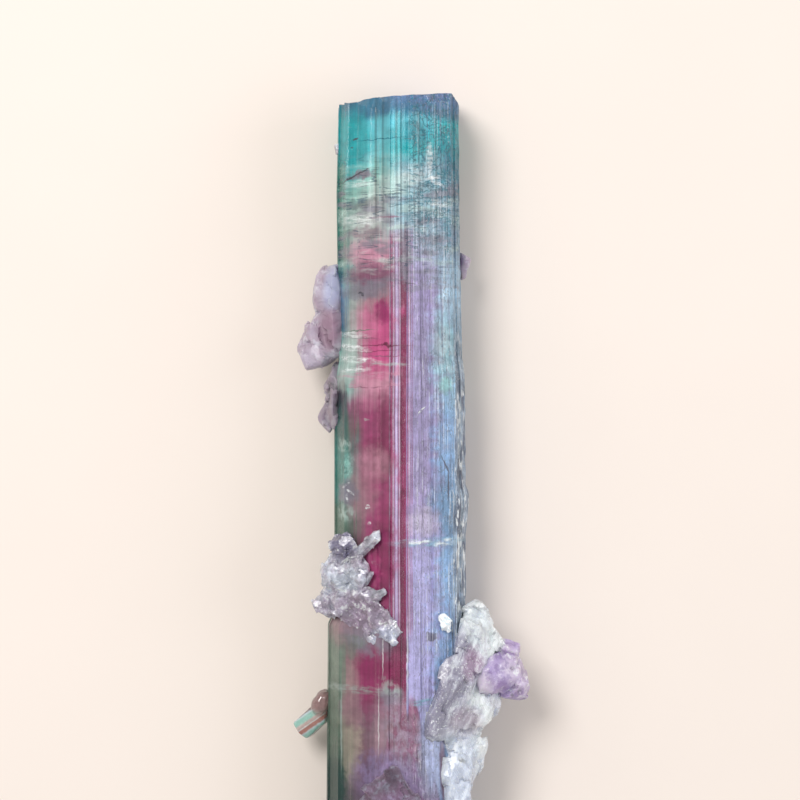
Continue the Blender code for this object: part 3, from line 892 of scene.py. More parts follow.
# Thin marks with sharp edges, given in the same way.
MARKS = (
    (-6.0, 46.1, 1.9, 0.10, 24, 0.5, SHADE, 0.9),
    (-6.0, 51.1, 0.35, 0.12, 20, 0.5, SHADE, 0.9),
    (-6.5, 50.0, 0.16, 0.08, 10, 0.5, SHADE, 0.9),
    (-2.4, 50.9, 3.0, 0.06, 2, 0.5, DEEP_TEAL, 0.9),
    (1.3, 50.7, 0.6, 0.07, 6, 0.5, SHADE, 0.6),
    (-1.9, 40.1, 2.2, 0.10, 0, 0.5, MAUVE, 0.7),
    (0.4, 37.3, 1.6, 0.10, -3, 0.5, ASH, 0.8),
    (-4.2, 16.8, 2.4, 0.08, 0, 0.5, MAUVE, 0.8),
    (1.5, 31.0, 0.8, 0.08, -8, 0.5, SHADE, 0.6),
    (-2.2, 22.5, 3.0, 0.07, -1, 0.6, WINE, 0.8),
    (-2.7, 21.7, 2.4, 0.06, 2, 0.6, WINE, 0.7),
    (-1.8, 21.0, 2.7, 0.06, -2, 0.6, MAUVE, 0.8),
    (-5.6, 24.6, 2.0, 0.06, 3, 0.6, MOSS, 0.8),
    (-5.4, 23.6, 2.2, 0.07, -4, 0.6, SHADE, 0.5),
    (6.4, 6.1, 0.10, 1.2, 26, 0.5, SHADE, 0.8),
    (6.8, 3.4, 0.10, 1.9, 0, 0.5, SHADE, 0.8),
    # The next two white lines are painted highlights along the ridge in the lower half.
    (-2.2, -19.6, 0.07, 2.6, 0, 0.6, WHITE, 0.5),
    (-2.78, -29.0, 0.07, 3.6, 0, 0.6, WHITE, 0.45),
    (1.15, -20.5, 0.09, 5.0, 0, 0.6, WHITE, 0.6),
    (-8.0, -30.0, 0.10, 5.0, 0, 0.6, FOG, 0.6),
    (6.1, -36.4, 0.40, 3.8, 3, 0.6, halfway(MAUVE, SHADE), 0.9),
)
# Broken veils, and a few painted glints, given in the same way.
VEILS_AND_GLINTS = (
    (-6.4, 24.0, 1.5, 0.30, -5, 0.9, WHITE, 0.5),
    (-6.4, 22.2, 1.6, 0.30, -7, 0.9, WHITE, 0.8),
    (-6.0, 20.6, 2.0, 0.35, -6, 0.9, WHITE, 0.7),
    (-3.6, 20.1, 3.6, 0.22, -3, 0.9, FROST, 0.6),
    (-6.0, 19.2, 1.6, 0.30, 4, 0.9, WHITE, 0.6),
    (-4.0, 18.5, 2.8, 0.30, 2, 0.9, ROSE, 0.9),
    (-3.6, 17.0, 2.3, 0.35, 0, 0.9, ROSE, 0.9),
    (-5.6, 44.9, 1.6, 0.4, 0, 0.8, WHITE, 0.4),
    (-5.0, 39.9, 2.3, 0.7, 0, 0.8, WHITE, 0.5),
    # The rows at y 45.6, 44.9, 48.2 and 42.0 are painted glints on the upper right.
    (4.6, 45.6, 0.8, 0.25, 10, 0.8, WHITE, 0.9),
    (5.2, 44.9, 0.7, 0.2, -20, 0.8, WHITE, 0.8),
    (4.2, 48.2, 0.3, 1.8, 0, 0.8, WHITE, 0.7),
    (2.0, 45.8, 1.4, 1.1, 0, 0.8, WHITE, 0.4),
    (5.6, 42.0, 1.2, 0.3, -8, 0.8, WHITE, 0.8),
    (-7.4, 3.2, 0.50, 0.14, 40, 0.5, WHITE, 1.2),
    (-6.7, 2.2, 0.55, 0.14, -35, 0.5, WHITE, 1.2),
    (-7.2, 1.5, 0.14, 0.50, 10, 0.5, WHITE, 1.2),
    (-4.3, 0.3, 0.30, 0.26, 0, 0.3, WHITE, 1.2),
    (-4.1, -2.0, 0.24, 0.22, 0, 0.3, WHITE, 1.2),
    (3.0, 13.5, 0.75, 0.12, 42, 0.4, WHITE, 1.0),
    (4.2, -4.5, 3.4, 0.40, 1, 0.9, ICE, 0.8),
    (2.6, -4.4, 1.3, 0.26, 2, 0.8, WHITE, 0.9),
    (6.3, -4.6, 1.0, 0.34, 8, 0.8, WHITE, 0.8),
    (-6.0, -24.8, 4.4, 0.40, -1, 0.9, FOG, 0.6),
    (3.4, -26.3, 2.0, 0.30, 3, 0.9, ICE, 0.9),
)
# Broad mottled patches, given in the same way.
MOTTLES = (
    (-7.6, 8.8, 0.7, 0.8, 20, 0.7, FROST, 0.7),
    (-7.2, 5.8, 0.8, 1.4, -10, 0.7, MINT, 0.6),
    (-7.3, -0.6, 0.9, 0.9, 0, 0.7, FROST, 0.7),
    (-7.1, 2.4, 0.7, 1.2, 0, 0.7, ASH, 0.8),
    (-3.9, 6.6, 1.8, 1.6, 0, 0.7, ROSE, 0.35),
    (-4.4, -18.6, 2.6, 1.3, -24, 0.7, ASH, 0.6),
    (-1.4, -24.2, 1.4, 0.8, -30, 0.7, FROST, 0.5),
    (-1.4, -36.6, 3.6, 2.6, -20, 0.7, halfway(PLUM, LILAC), 0.8),
    (0.1, -31.0, 1.6, 4.0, 16, 0.7, halfway(ASH, PALE_LILAC), 0.5),
    (6.4, 22.0, 1.0, 2.6, 12, 0.7, WHITE, 0.25),
    (-3.2, -49.0, 4.2, 2.0, 0, 0.7, RIND, 0.4),
)


# The other minerals' patches, given in the same way.
GREY_LILAC_PATCHES = (
    (-9.2, 31.0, 1.1, 2.8, -8, 0.6, linear(186, 192, 224), 0.9),
    (-9.6, 25.0, 1.6, 2.2, 0, 0.6, linear(150, 104, 130), 0.7),
    (-9.5, 15.6, 2.5, 4.0, 0, 0.5, linear(128, 116, 128), 0.6),
)
PURPLE_PATCHES = (
    # the first patch is a painted highlight on the right edge
    (16.0, -22.4, 1.2, 2.6, 20, 0.6, linear(220, 208, 224), 0.6),
    (10.6, -24.6, 2.0, 1.8, -30, 0.7, linear(214, 204, 220), 0.9),
)
QUARTZ_PATCHES = (
    (-7.6, -5.0, 1.8, 2.2, 0, 0.4, linear(132, 128, 156), 1.0),
    (-5.0, -14.8, 3.2, 3.0, 0, 0.5, linear(158, 134, 162), 0.75),
    (-1.8, -17.6, 1.6, 1.4, 0, 0.6, linear(196, 206, 236), 0.8),
)
ALBITE_PATCHES = (
    (6.8, -24.6, 2.6, 8.6, -23, 0.5, linear(152, 148, 168), 0.9),
    (10.6, -20.6, 1.4, 2.4, -20, 0.6, linear(172, 142, 172), 0.8),
    (9.2, -29.4, 1.8, 2.0, -40, 0.6, linear(164, 136, 152), 0.6),
    (8.4, -37.6, 2.6, 6.0, 0, 0.6, linear(206, 216, 236), 0.8),
)


def length_ramp(shader, stops, value):
    """Colours placed by their distance along the crystal, in millimetres."""
    share = shader.math("DIVIDE", shader.math("SUBTRACT", value, FOOT_Y), LENGTH)
    return shader.ramp(share, [((along - FOOT_Y) / LENGTH, colour) for along, colour in stops])


def dab(s, colour, rows, place=None):
    """Lays the patches of a table over a colour; also gives back where the frosted ones are."""
    frosted = 0.0
    for x, y, half_x, half_y, turn, soft, tint, strength in rows:
        share = s.patch(place or s.mm, x, y, half_x, half_y, turn, soft, strength)
        colour = s.mix(share, colour, tint)
        if tint in FROSTED_TINTS:
            frosted = s.most(frosted, share)
    return colour, frosted


def paint(s, colour, rows, place, only):
    """Lays a table's patches over one part of the crystal alone, given by the last argument."""
    painted, frosted = dab(s, colour, rows, place)
    return s.mix(only, colour, painted), s.times(frosted, only)


def across_ramp(s, value, stops, low, high):
    """A ramp's value and stops from low to high, for stops given by their distance across."""
    share = s.spread(value, low, high, smooth=False)
    return share, [((across - low) / (high - low), given) for across, given in stops]


def find_parts(s):
    """The noises that the tourmaline's look is made of, and where each part of it lies."""
    s.streaks = s.noise((2.6, 0.05, 2.6), 3.0, 0.6, seed=1)
    drift = s.noise((0.3, 0.25, 0.3), 3.0, seed=2)
    waver = s.noise((0.5, 0.10, 0.5), 2.0, seed=3)
    s.fine_lines = s.noise((6.0, 0.03, 6.0), 2.0, 0.6, seed=4)
    s.mid_lines = s.noise((1.9, 0.02, 1.9), 2.0, 0.5, seed=5)
    s.broken = s.noise((0.6, 0.30, 0.6), 3.0, 0.6, seed=6)
    s.clouds = s.noise((0.45, 0.8, 0.45), 3.0, 0.55, seed=7)
    s.flakes = s.noise((2.4, 1.5, 2.4), 5.0, 0.7, seed=8)
    s.sparks = s.noise((4.5, 3.5, 4.5), 3.0, 0.7, seed=9)

    # distances along and across the crystal, made uneven by the noises
    loose = s.sway(s.y, s.streaks, s.spread(s.y, 48.0, 53.0, 4.0, 1.2))
    s.along = s.sway(loose, drift, s.spread(s.y, 48.0, 53.0, 4.0, 1.6))
    s.tilt = s.math("MULTIPLY_ADD", s.x, -0.16, s.along)
    ragged = s.sway(s.x, s.streaks, 2.6)
    s.across = s.sway(ragged, waver, 2.4)
    s.wandering = s.sway(s.x, s.noise(0.05, seed=10), 0.5)

    s.front = s.spread(s.z, 5.5, 8.5)
    s.on_left = s.spread(s.x, -1.35, -1.15, 1.0, 0.0)
    s.on_satin = s.spread(s.x, 1.85, 2.05)
    low_enough = s.spread(s.y, 16.0, 30.0, 1.0, 0.0)
    s.on_side = s.times(s.spread(ragged, 7.3, 7.9), s.spread(s.z, 3.0, 9.0), low_enough)
    s.upper = s.spread(s.along, 35.0, 39.0)
    s.satin_part = s.times(s.on_satin, s.front)
    chip_point, chip_normal = FRONT_CHIP
    past_chip = s.vector("DOT_PRODUCT", s.vector("SUBTRACT", s.mm, chip_point), chip_normal)
    below_chip = s.spread(s.y, -27.0, -24.5, 1.0, 0.0)
    s.recess = s.times(s.spread(past_chip, -0.42, -0.22), below_chip, s.front)


def strip_colours(s):
    """The colours of the strips that run side by side along the tourmaline."""
    colour = s.mix(s.spread(s.across, -8.2, -6.6), length_ramp(s, RIM_COLOURS, s.along),
                   length_ramp(s, EDGE_COLOURS, s.tilt))
    colour = s.mix(s.spread(s.across, -7.2, -4.0), colour, length_ramp(s, CORE_COLOURS, s.tilt))
    satin = length_ramp(s, SATIN_COLOURS, s.along)
    hazy = s.sway(s.across, s.clouds, 4.5)
    satin = s.mix(s.spread(hazy, 3.6, 7.0), satin, length_ramp(s, BLUE_COLOURS, s.along))
    right_of_ridge = s.most(s.spread(s.x, 0.9, 1.1), s.times(s.spread(s.across, -4.0, 1.0), s.upper))
    colour = s.mix(right_of_ridge, colour, satin)
    # the ridge's pale lilac lines are painted highlights on its edges
    ridge = s.ramp(*across_ramp(s, s.wandering, RIDGE_COLOURS_AND_HIGHLIGHTS, -2.0, 2.2))
    ridge_part = s.times(s.band(s.wandering, -1.35, 1.95, 0.06), s.band(s.along, -17.0, 38.0, 2.0), s.front)
    colour = s.mix(s.times(ridge_part, s.spread(s.broken, 0.30, 0.52, 0.30, 0.9)), colour, ridge)
    # the grey side, mottled light and dark as painted glints and painted shade on its crumpled facets
    foil = s.noise((1.0, 0.30, 0.8), 4.0, 0.6, seed=19)
    side_colour_and_glints = s.mix(s.spread(foil, 0.40, 0.58), linear(98, 108, 128), linear(168, 186, 204))
    return s.mix(s.times(s.on_side, 0.9), colour, side_colour_and_glints)


def recess_colours(s, colour):
    """Lays the chipped lower front over a colour, with pink and lilac streaks."""
    slanted = s.combined(s.math("MULTIPLY_ADD", s.y, 0.32, s.x), s.math("MULTIPLY", s.y, 0.16))
    streak = s.noise((1.6, 1.0, 0.0), 4.0, 0.65, seed=11, coords=slanted)
    chipped = s.mix(s.spread(streak, 0.42, 0.60), CRIMSON, halfway(GREY_ROSE, MAUVE))
    chipped = s.mix(s.spread(streak, 0.60, 0.80), chipped, ASH)
    chipped = s.mix(s.spread(s.y, -38.0, -31.0, 0.7, 0.0), chipped, PLUM)
    return s.mix(s.times(s.recess, 0.9), colour, chipped)


def crack_lines(s):
    """Dark cracks across the upper half."""
    field = s.noise((0.09, 0.85, 0.09), 2.0, 0.35, seed=12)
    cracks = s.most(s.threads(field, 0.52, 0.020), s.threads(field, 0.42, 0.018))
    return s.times(cracks, s.spread(s.broken, 0.44, 0.56), s.band(s.y, 32.0, 48.0, 2.5), s.front)


def crackle_lines(s):
    """A fine net of lines on the right of the upper half."""
    field = s.noise((0.8, 1.3, 0.8), 2.0, 0.5, seed=14)
    on_right = s.spread(s.x, 0.5, 2.0)
    return s.times(s.threads(field, 0.5, 0.045), on_right, s.spread(s.y, 30.0, 44.0), s.front)


def frosted_smears(s, colour):
    """Lays grey and light smears over the upper half; also gives back the light ones."""
    smears = s.noise((0.18, 0.7, 0.18), 3.0, 0.5, seed=13)
    grey = s.times(s.spread(smears, 0.50, 0.66, 0.0, 0.75), s.band(s.y, 29.0, 47.0, 3.0), s.front)
    light = s.times(s.spread(smears, 0.30, 0.48, 0.6, 0.0), s.band(s.y, 32.0, 47.0, 3.0), s.front)
    return s.mix(light, s.mix(grey, colour, ASH), FROST), light


def satin_lines(s, colour):
    """Lays painted highlights along the striations, dark lines and scratches over the satin face, and
    painted glints over its side.
    """
    unbroken = s.spread(s.broken, 0.40, 0.58, 0.1, 1.0)
    # painted highlights along the fine striation lines
    bright = s.times(s.spread(s.fine_lines, 0.55, 0.66), s.satin_part, unbroken)
    colour = s.mix(s.times(bright, s.blend(s.upper, 0.5, 0.3)), colour, WHITE)
    dark = s.times(s.spread(s.noise((4.0, 0.05, 4.0), 2.0, seed=15), 0.57, 0.66), s.satin_part)
    colour = s.mix(s.times(dark, 0.5), colour, halfway(MAUVE, SLATE))
    field = s.noise((1.1, 0.30, 1.1), 4.0, 0.6, seed=16)
    scratches = s.times(s.threads(field, 0.5, 0.03), s.satin_part, s.spread(s.flakes, 0.42, 0.52))
    colour = s.mix(s.times(scratches, 0.5), colour, SHADE)
    # painted glints over the side
    side_glints = s.noise((2.0, 0.45, 1.2), 3.0, 0.6, seed=17)
    return s.mix(s.times(s.spread(side_glints, 0.56, 0.62, 0.0, 0.9), s.on_side), colour, WHITE)


def foot_colours(s, colour):
    """Lays the crystal's zones over the broken foot: pink inside, pale, then green."""
    facing_down = s.spread(s.vector("DOT_PRODUCT", s.facing(), (0, -1, 0)), 0.45, 0.65)
    foot = s.times(facing_down, s.spread(s.y, -50.0, -46.0, 1.0, 0.0))
    flat = s.vector("MULTIPLY", s.vector("SUBTRACT", s.mm, (0, 0, 8.2)), (0.108, 0.0, 0.122))
    ring = s.sway(s.vector("LENGTH", flat), s.clouds, 0.3)
    return s.mix(foot, colour, s.ramp(ring, FOOT_ZONES))


def stripe_brightness(s):
    """How bright the long stripes and the cloudy parts are."""
    stripes = s.value_ramp(*across_ramp(s, s.wandering, TIP_STRIPES, -5.0, 3.0))
    tip_part = s.times(s.spread(s.along, 37.0, 42.0), s.spread(s.y, 54.6, 55.6, 1.0, 0.5), s.front)
    stripes = s.blend(tip_part, 1.0, s.math("MULTIPLY", stripes, 2.0))
    lines = s.blend(s.on_left, s.spread(s.fine_lines, 0.33, 0.67, 0.84, 1.14, smooth=False), 1.0)
    wide = s.spread(s.mid_lines, 0.33, 0.67, 0.88, 1.12, smooth=False)
    cloudy = s.spread(s.clouds, 0.3, 0.7, 0.82, 1.16, smooth=False)
    mottled = s.blend(s.on_satin, 1.0, s.spread(s.flakes, 0.3, 0.7, 0.74, 1.28, smooth=False))
    return s.times(stripes, lines, wide, cloudy, mottled)


def tourmaline_material():
    s = Shader("watermelon_tourmaline")
    find_parts(s)
    colour = recess_colours(s, strip_colours(s))

    push = s.combined(*[s.math("SUBTRACT", s.noise(0.9, 4.0, seed=seed), 0.5) for seed in (20, 21)])
    warped = s.vector("MULTIPLY_ADD", push, (2.2, 2.6, 0.0), s.mm)
    slightly = s.vector("MULTIPLY_ADD", push, (0.3, 0.7, 0.0), s.mm)
    colour, cloud_pale = paint(s, colour, CLOUDS, warped, s.front)

    cracks, crackle = crack_lines(s), crackle_lines(s)
    colour, light_smears = frosted_smears(s, colour)
    colour = s.mix(s.times(cracks, 0.65), colour, halfway(SHADE, SLATE))
    colour = s.mix(s.times(crackle, 0.75), colour, DEEP_TEAL)
    # painted glints: white specks over the right of the front
    painted_glints = s.times(s.spread(s.sparks, 0.60, 0.68), s.spread(s.x, -0.5, 2.5), s.front)
    painted_glints = s.times(painted_glints, s.spread(s.broken, 0.42, 0.6))
    colour = satin_lines(s, s.mix(s.times(painted_glints, 0.8), colour, WHITE))

    colour, mark_pale = paint(s, colour, MARKS, slightly, s.front)
    veil = s.times(s.spread(s.noise((0.7, 3.0, 0.7), 4.0, 0.6, seed=18), 0.40, 0.60, 0.15, 1.0), s.front)
    colour, veil_pale = paint(s, colour, VEILS_AND_GLINTS, slightly, veil)
    grain = s.times(s.spread(s.noise((1.1, 0.8, 1.1), 5.0, 0.6, seed=22), 0.38, 0.60), s.front)
    colour, mottle_pale = paint(s, colour, MOTTLES, slightly, grain)
    pale = s.most(cloud_pale, mark_pale, veil_pale, mottle_pale, light_smears, painted_glints)
    colour = s.brighten(foot_colours(s, colour), stripe_brightness(s))

    # the left part is clear and glossy, the satin face less, the frosted and chipped parts least
    dull = s.most(pale, s.on_side, s.recess)
    clear = s.blend(dull, s.blend(s.on_left, 0.10, 0.30), 0.05)
    roughness = s.blend(s.on_satin, s.blend(s.on_left, 0.24, 0.07), 0.32)
    roughness = s.blend(dull, roughness, 0.40)
    roughness = s.math("ADD", roughness, s.spread(s.flakes, 0.4, 0.7, 0.0, 0.10))

    relief = s.bump(s.times(s.fine_lines, s.blend(s.on_left, 1.0, 0.3)), 0.12)
    rough_parts = s.most(s.on_side, s.recess, s.times(pale, 0.7))
    relief = s.bump(s.times(s.flakes, s.blend(rough_parts, 0.22, 1.0)), 0.26, relief)
    relief = s.bump(s.most(cracks, crackle), -0.05, relief)
    s.set(Base_Color=colour, Roughness=roughness, Normal=relief)
    s.set(Transmission_Weight=clear, IOR=TOURMALINE_IOR)
    s.absorb(linear(236, 196, 212), 30.0)
    return s.material


def mica_material(name, main, light, dark, clear, rough, lean):
    """Lepidolite: packed mica flakes, pearly and a little see-through. Gives its colour back too."""
    s = Shader(name)
    lumps = s.noise(0.24, 3.0, 0.5, seed=1)
    flakes = s.noise(0.7, 4.0, 0.6, seed=2)
    fine = s.noise(3.0, 3.0, 0.7, seed=3)
    colour = s.mix(s.spread(lumps, 0.36, 0.60), dark, main)
    colour = s.mix(s.spread(flakes, 0.48, 0.66, 0.0, 0.8), colour, light)
    colour = s.brighten(colour, s.spread(fine, 0.3, 0.7, 0.94, 1.06))
    relief = s.bump(fine, 0.03, s.bump(flakes, 0.06, s.faceted(0.9, lean, 2)))
    s.set(Base_Color=colour, Roughness=s.spread(fine, 0.35, 0.65, rough + 0.18, rough), Normal=relief)
    s.set(IOR=MICA_IOR, Transmission_Weight=clear, Coat_Weight=0.2, Coat_Roughness=0.3)
    s.set(Subsurface_Weight=0.7, Subsurface_Radius=(1.0, 0.85, 1.0), Subsurface_Scale=0.002)
    return s, colour


def grey_lilac_material():
    main, light, dark = linear(196, 186, 204), linear(220, 218, 232), linear(182, 164, 182)
    s, colour = mica_material("grey_lilac_mica", main, light, dark, 0.25, 0.36, 0.2)
    colour, _ = dab(s, colour, GREY_LILAC_PATCHES)
    s.set(Base_Color=colour)
    return s.material


def purple_material():
    main, light, dark = linear(190, 174, 216), linear(232, 226, 244), linear(158, 132, 184)
    s, colour = mica_material("purple_mica", main, light, dark, 0.12, 0.28, 0.4)
    colour, _ = dab(s, colour, PURPLE_PATCHES)
    veils = s.noise(0.65, 5.0, 0.65, seed=6)
    colour = s.mix(s.spread(veils, 0.38, 0.48, 0.6, 0.0), colour, linear(140, 116, 172))
    # the brightest parts of the veils are painted highlights
    colour = s.mix(s.spread(veils, 0.57, 0.65, 0.0, 0.9), colour, linear(244, 244, 254))
    s.set(Base_Color=colour, Normal=s.bump(veils, 0.04, s.faceted(1.0, 0.40, 6)), Coat_Weight=0.4)
    return s.material


def plum_material():
    main, light, dark = linear(136, 110, 142), linear(160, 148, 182), linear(122, 90, 120)
    s, colour = mica_material("plum_mica", main, light, dark, 0.08, 0.34, 0.15)
    grain = s.noise(1.4, 5.0, 0.7, seed=5)
    colour = s.mix(s.spread(grain, 0.50, 0.66, 0.0, 0.7), colour, linear(182, 176, 210))
    s.set(Base_Color=s.mix(s.spread(grain, 0.36, 0.46, 0.4, 0.0), colour, linear(106, 66, 98)))
    return s.material


def quartz_material():
    """Cloudy glassy grains with a little lilac mica between them."""
    s = Shader("cloudy_quartz")
    lumps = s.noise(0.30, 4.0, 0.6, seed=4)
    veils = s.noise(0.9, 5.0, 0.65, seed=5)
    fine = s.noise(3.2, 3.0, 0.7, seed=6)
    colour = s.mix(s.spread(lumps, 0.38, 0.60), linear(196, 188, 206), linear(216, 224, 240))
    colour, _ = dab(s, colour, QUARTZ_PATCHES)
    colour = s.mix(s.spread(veils, 0.56, 0.66, 0.0, 0.85), colour, WHITE)
    colour = s.brighten(colour, s.spread(fine, 0.35, 0.65, 0.90, 1.08))
    # painted glints: tiny white specks
    colour = s.mix(s.spread(s.noise(2.6, 3.0, 0.6, seed=13), 0.62, 0.67, 0.0, 0.9), colour, WHITE)
    clear = s.spread(veils, 0.40, 0.60, 0.50, 0.12)
    roughness = s.spread(fine, 0.44, 0.62, 0.05, 0.20)
    s.set(Base_Color=colour, Roughness=roughness, Transmission_Weight=clear, IOR=QUARTZ_IOR)
    s.set(Subsurface_Weight=0.5, Subsurface_Radius=(1.0, 0.95, 1.0), Subsurface_Scale=0.0015)
    s.set(Coat_Weight=0.7, Coat_Roughness=0.05)
    s.set(Normal=s.bump(fine, 0.04, s.bump(veils, 0.06, s.faceted(0.7, 0.45, 3))))
    return s.material


def albite_material():
    """Feldspar with a satin cleavage along the blades, white veils and grey lilac shading."""
    s = Shader("albite")
    sweep = s.noise(0.22, 3.0, 0.5, seed=6)
    cleavage = s.noise(1, 4.0, 0.6, seed=7, coords=s.place_along(-0.38, -0.92, 1.3, 0.30, 1.3))
    streaks = s.noise(1, 3.0, 0.65, seed=8, coords=s.place_along(0.46, -0.89, 4.0, 0.5, 4.0))
    top_blade = s.patch(s.mm, 11.5, -16.6, 2.3, 4.6, 27, 0.3)
    colour = s.mix(s.spread(sweep, 0.36, 0.60), linear(226, 232, 250), linear(240, 248, 255))
    colour, _ = dab(s, colour, ALBITE_PATCHES)
    colour = s.mix(s.spread(cleavage, 0.52, 0.66, 0.0, 0.45), colour, WHITE)
    colour = s.mix(s.spread(cleavage, 0.30, 0.42, 0.20, 0.0), colour, linear(158, 142, 164))
    bright = s.times(top_blade, s.spread(streaks, 0.30, 0.60, 0.2, 0.9))
    colour = s.mix(bright, colour, linear(240, 250, 255))
    glints = s.noise(3.2, 3.0, 0.6, seed=12)
    colour = s.mix(s.spread(glints, 0.60, 0.66, 0.0, 0.9), colour, WHITE)
    roughness = s.spread(streaks, 0.3, 0.7, 0.30, 0.12)
    facing = s.faceted(0.7, 0.50, 4)
    relief = s.bump(streaks, 0.04, s.bump(cleavage, 0.05, facing))
    s.set(Base_Color=colour, Roughness=roughness, IOR=ALBITE_IOR, Normal=relief)
    s.set(Transmission_Weight=s.spread(cleavage, 0.42, 0.58, 0.28, 0.08))
    s.set(Coat_Weight=0.4, Coat_Roughness=0.14)
    s.set(Subsurface_Weight=0.7, Subsurface_Radius=(1.0, 0.95, 1.0), Subsurface_Scale=0.002)
    return s.material


def fleck_material():
    s = Shader("white_fleck")
    grain = s.noise(2.5, 4.0, 0.7, seed=9)
    s.set(Base_Color=s.mix(s.spread(grain, 0.35, 0.5), linear(206, 230, 240), linear(250, 253, 255)))
    s.set(Roughness=s.spread(grain, 0.4, 0.6, 0.5, 0.25), Normal=s.bump(grain, 0.1), Coat_Weight=0.4)
    return s.material


def side_tourmaline_material():
    """A small watermelon rod: salmon-pink core with mint edges, painted highlights along its edges and
    flutes, and painted shade along its rim.
    """
    s = Shader("side_tourmaline_look")
    lines = s.noise(3.0, 3.0, seed=9)
    wide = s.math("ADD", s.math("MULTIPLY", s.x, 0.58), s.math("MULTIPLY", s.y, -0.81))
    place = s.math("MULTIPLY_ADD", lines, 0.25, wide)
    salmon, blush, rim_shade = linear(190, 132, 122), linear(206, 184, 180), linear(120, 98, 100)
    mint, edge_highlight = linear(164, 220, 208), linear(214, 236, 244)
    # The dark ends of the ramp are painted shade along the rim, and its pale bands painted highlights along
    # the edges and flutes.
    stops = (
        (0.00, rim_shade), (0.06, edge_highlight), (0.12, mint), (0.27, mint), (0.34, blush), (0.44, blush),
        (0.47, WHITE), (0.51, salmon), (0.64, salmon), (0.70, edge_highlight), (0.76, mint), (0.90, mint),
        (0.95, edge_highlight), (1.00, rim_shade),
    )
    colour = s.ramp(s.spread(place, 16.0, 19.3, smooth=False), stops)
    colour = s.mix(s.patch(s.mm, -10.9, -27.4, 1.1, 1.6, -36, 0.5), colour, linear(160, 126, 126))
    colour = s.brighten(colour, s.spread(lines, 0.3, 0.7, 0.92, 1.10))
    s.set(Base_Color=colour, Roughness=s.spread(lines, 0.4, 0.6, 0.05, 0.12))
    s.set(Coat_Weight=0.8, Coat_Roughness=0.03)
    s.set(Transmission_Weight=0.4, IOR=TOURMALINE_IOR, Normal=s.bump(lines, 0.04))
    return s.material


def floor_material():
    s = Shader("pale_floor")
    tint = s.noise(0.02, 3.0, seed=10)
    colour = s.mix(s.spread(tint, 0.3, 0.7), linear(236, 226, 218), linear(238, 228, 220))
    s.set(Base_Color=colour, Roughness=0.9)
    return s.material


def dress(piece, node, material):
    """Gives a piece its material, hangs it on the root, and hides the node that it stands for."""
    piece.data.materials.clear()
    piece.data.materials.append(material)
    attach(piece, "root")
    if node:
        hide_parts(node)


def build_minerals():
    grey_lilac = grey_lilac_material()
    quartz = quartz_material()
    albite = albite_material()
    # node, slot, material, net, crease, smoothing, roughness, facet size, tilt, raised, small crystals
    rows = (
        ("upper_left_lepidolite", "lepidolite", grey_lilac, 0.17, 0.5, 30, 0.14, 1.2, 0.03, 0.10, 0),
        ("middle_left_lepidolite", "lepidolite", grey_lilac, 0.14, 0.2, 3, 0.08, 1.6, 0.05, 0.12, 4),
        ("right_edge_chip", "lepidolite", grey_lilac, 0.12, 0.1, 1, 0.05, 1.4, 0.08, 0.10, 0),
        ("front_left_quartz", "quartz", quartz, 0.15, 0.5, 3, 0.14, 1.2, 0.12, 0.08, 18),
        ("right_albite_blades", "albite", albite, 0.18, 0.8, 8, 0.14, 1.7, 0.07, 0.18, 10),
        ("right_lepidolite", "lepidolite", purple_material(), 0.17, 0.6, 6, 0.20, 2.4, 0.10, 0.26, 4),
        ("lower_front_lepidolite", "lepidolite", plum_material(), 0.16, 0.8, 16, 0.06, 3.0, 0.01, -0.55, 0),
        ("albite_fleck", "albite", fleck_material(), 0.08, 0.0, 1, 0.16, 0.8, 0.20, 0.05, 3),
    )
    for node, slot, material, net, crease, rounds, depth, size, tilt, raised, count in rows:
        mesh = grown_together(node, net, crease, rounds)
        slim_rods(mesh, PRISMS.get(node, ()))
        roughen(mesh, (0.7, 0.5, 0.7), depth, len(node))
        press_facets(mesh, size, tilt, 0.5, raised, len(node))
        if node in SETTLED:
            settle(mesh, SETTLED[node])
        scatter_crystals(mesh, count, (0.25, 0.6), 2.0, len(node))
        add_prisms(mesh, PRISMS.get(node, ()), len(node))
        piece = add_piece(f"fine_{node}", mesh)
        turn_faces_out(piece)
        shade(piece, MINERAL_SHARP)
        dress(piece, node, material)
    tip_chip = bevelled_copy("tip_chip", 0.1)
    tip_chip.location.x = 0.35 * MM
    dress(tip_chip, "tip_chip", quartz)
    dress(round_rod("side_tourmaline"), "side_tourmaline", side_tourmaline_material())


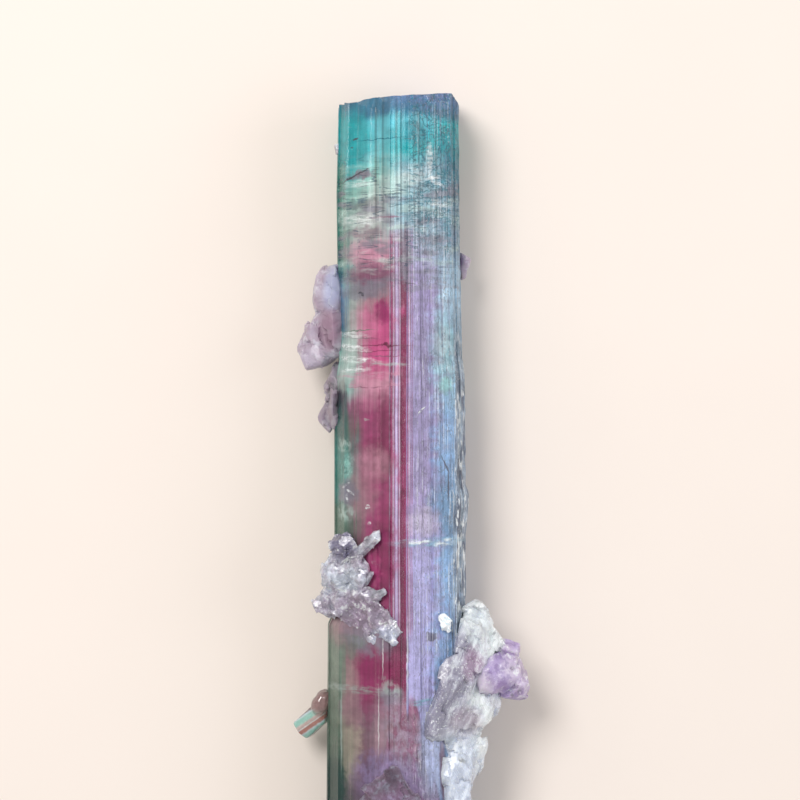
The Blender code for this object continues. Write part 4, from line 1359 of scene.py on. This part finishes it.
def add_lamp(name, place, size, watts, colour):
    lamp = bpy.data.lights.new(name, "AREA")
    lamp.shape = "DISK"
    lamp.size = size
    lamp.energy = watts
    lamp.color = colour
    holder = bpy.data.objects.new(name, lamp)
    holder.location = place
    holder.rotation_euler = (Vector(LAMP_AIM) - Vector(place)).to_track_quat("-Z", "Y").to_euler()
    bpy.context.scene.collection.objects.link(holder)


def build_stage():
    bm = bmesh.new()
    bmesh.ops.create_grid(bm, x_segments=1, y_segments=1, size=FLOOR_SIZE)
    mesh = bpy.data.meshes.new("floor")
    bm.to_mesh(mesh)
    bm.free()
    floor = add_piece("floor", mesh)
    floor.location.z = -FLOOR_DROP
    floor.data.materials.append(floor_material())

    world = bpy.data.worlds.new("studio")
    world.use_nodes = True
    sky = world.node_tree.nodes["Background"]
    sky.inputs["Color"].default_value = SKY_COLOUR
    sky.inputs["Strength"].default_value = SKY_STRENGTH
    bpy.context.scene.world = world
    for lamp in LAMPS:
        add_lamp(*lamp)


def build_camera():
    camera = bpy.data.objects.new("camera", bpy.data.cameras.new("camera"))
    camera.data.lens = LENS
    camera.data.sensor_width = SENSOR
    height = REFERENCE_HEIGHT + PHOTO_SIDE * LENS / SENSOR
    camera.location = Vector((CAMERA_X, CAMERA_Y, height)) * MM
    camera.data.clip_start = NEAREST_SEEN
    bpy.context.scene.collection.objects.link(camera)
    bpy.context.scene.camera = camera
    bpy.context.scene.view_settings.view_transform = "Standard"


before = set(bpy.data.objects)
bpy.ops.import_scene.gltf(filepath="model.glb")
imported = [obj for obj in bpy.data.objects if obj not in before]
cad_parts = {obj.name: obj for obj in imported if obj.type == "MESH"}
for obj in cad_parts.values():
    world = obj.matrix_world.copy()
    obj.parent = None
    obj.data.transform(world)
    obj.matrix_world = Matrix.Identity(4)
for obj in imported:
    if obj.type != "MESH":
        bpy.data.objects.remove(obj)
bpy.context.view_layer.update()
build_camera()
build_stage()
dress(build_prism(), "tourmaline_crystal", tourmaline_material())
build_minerals()
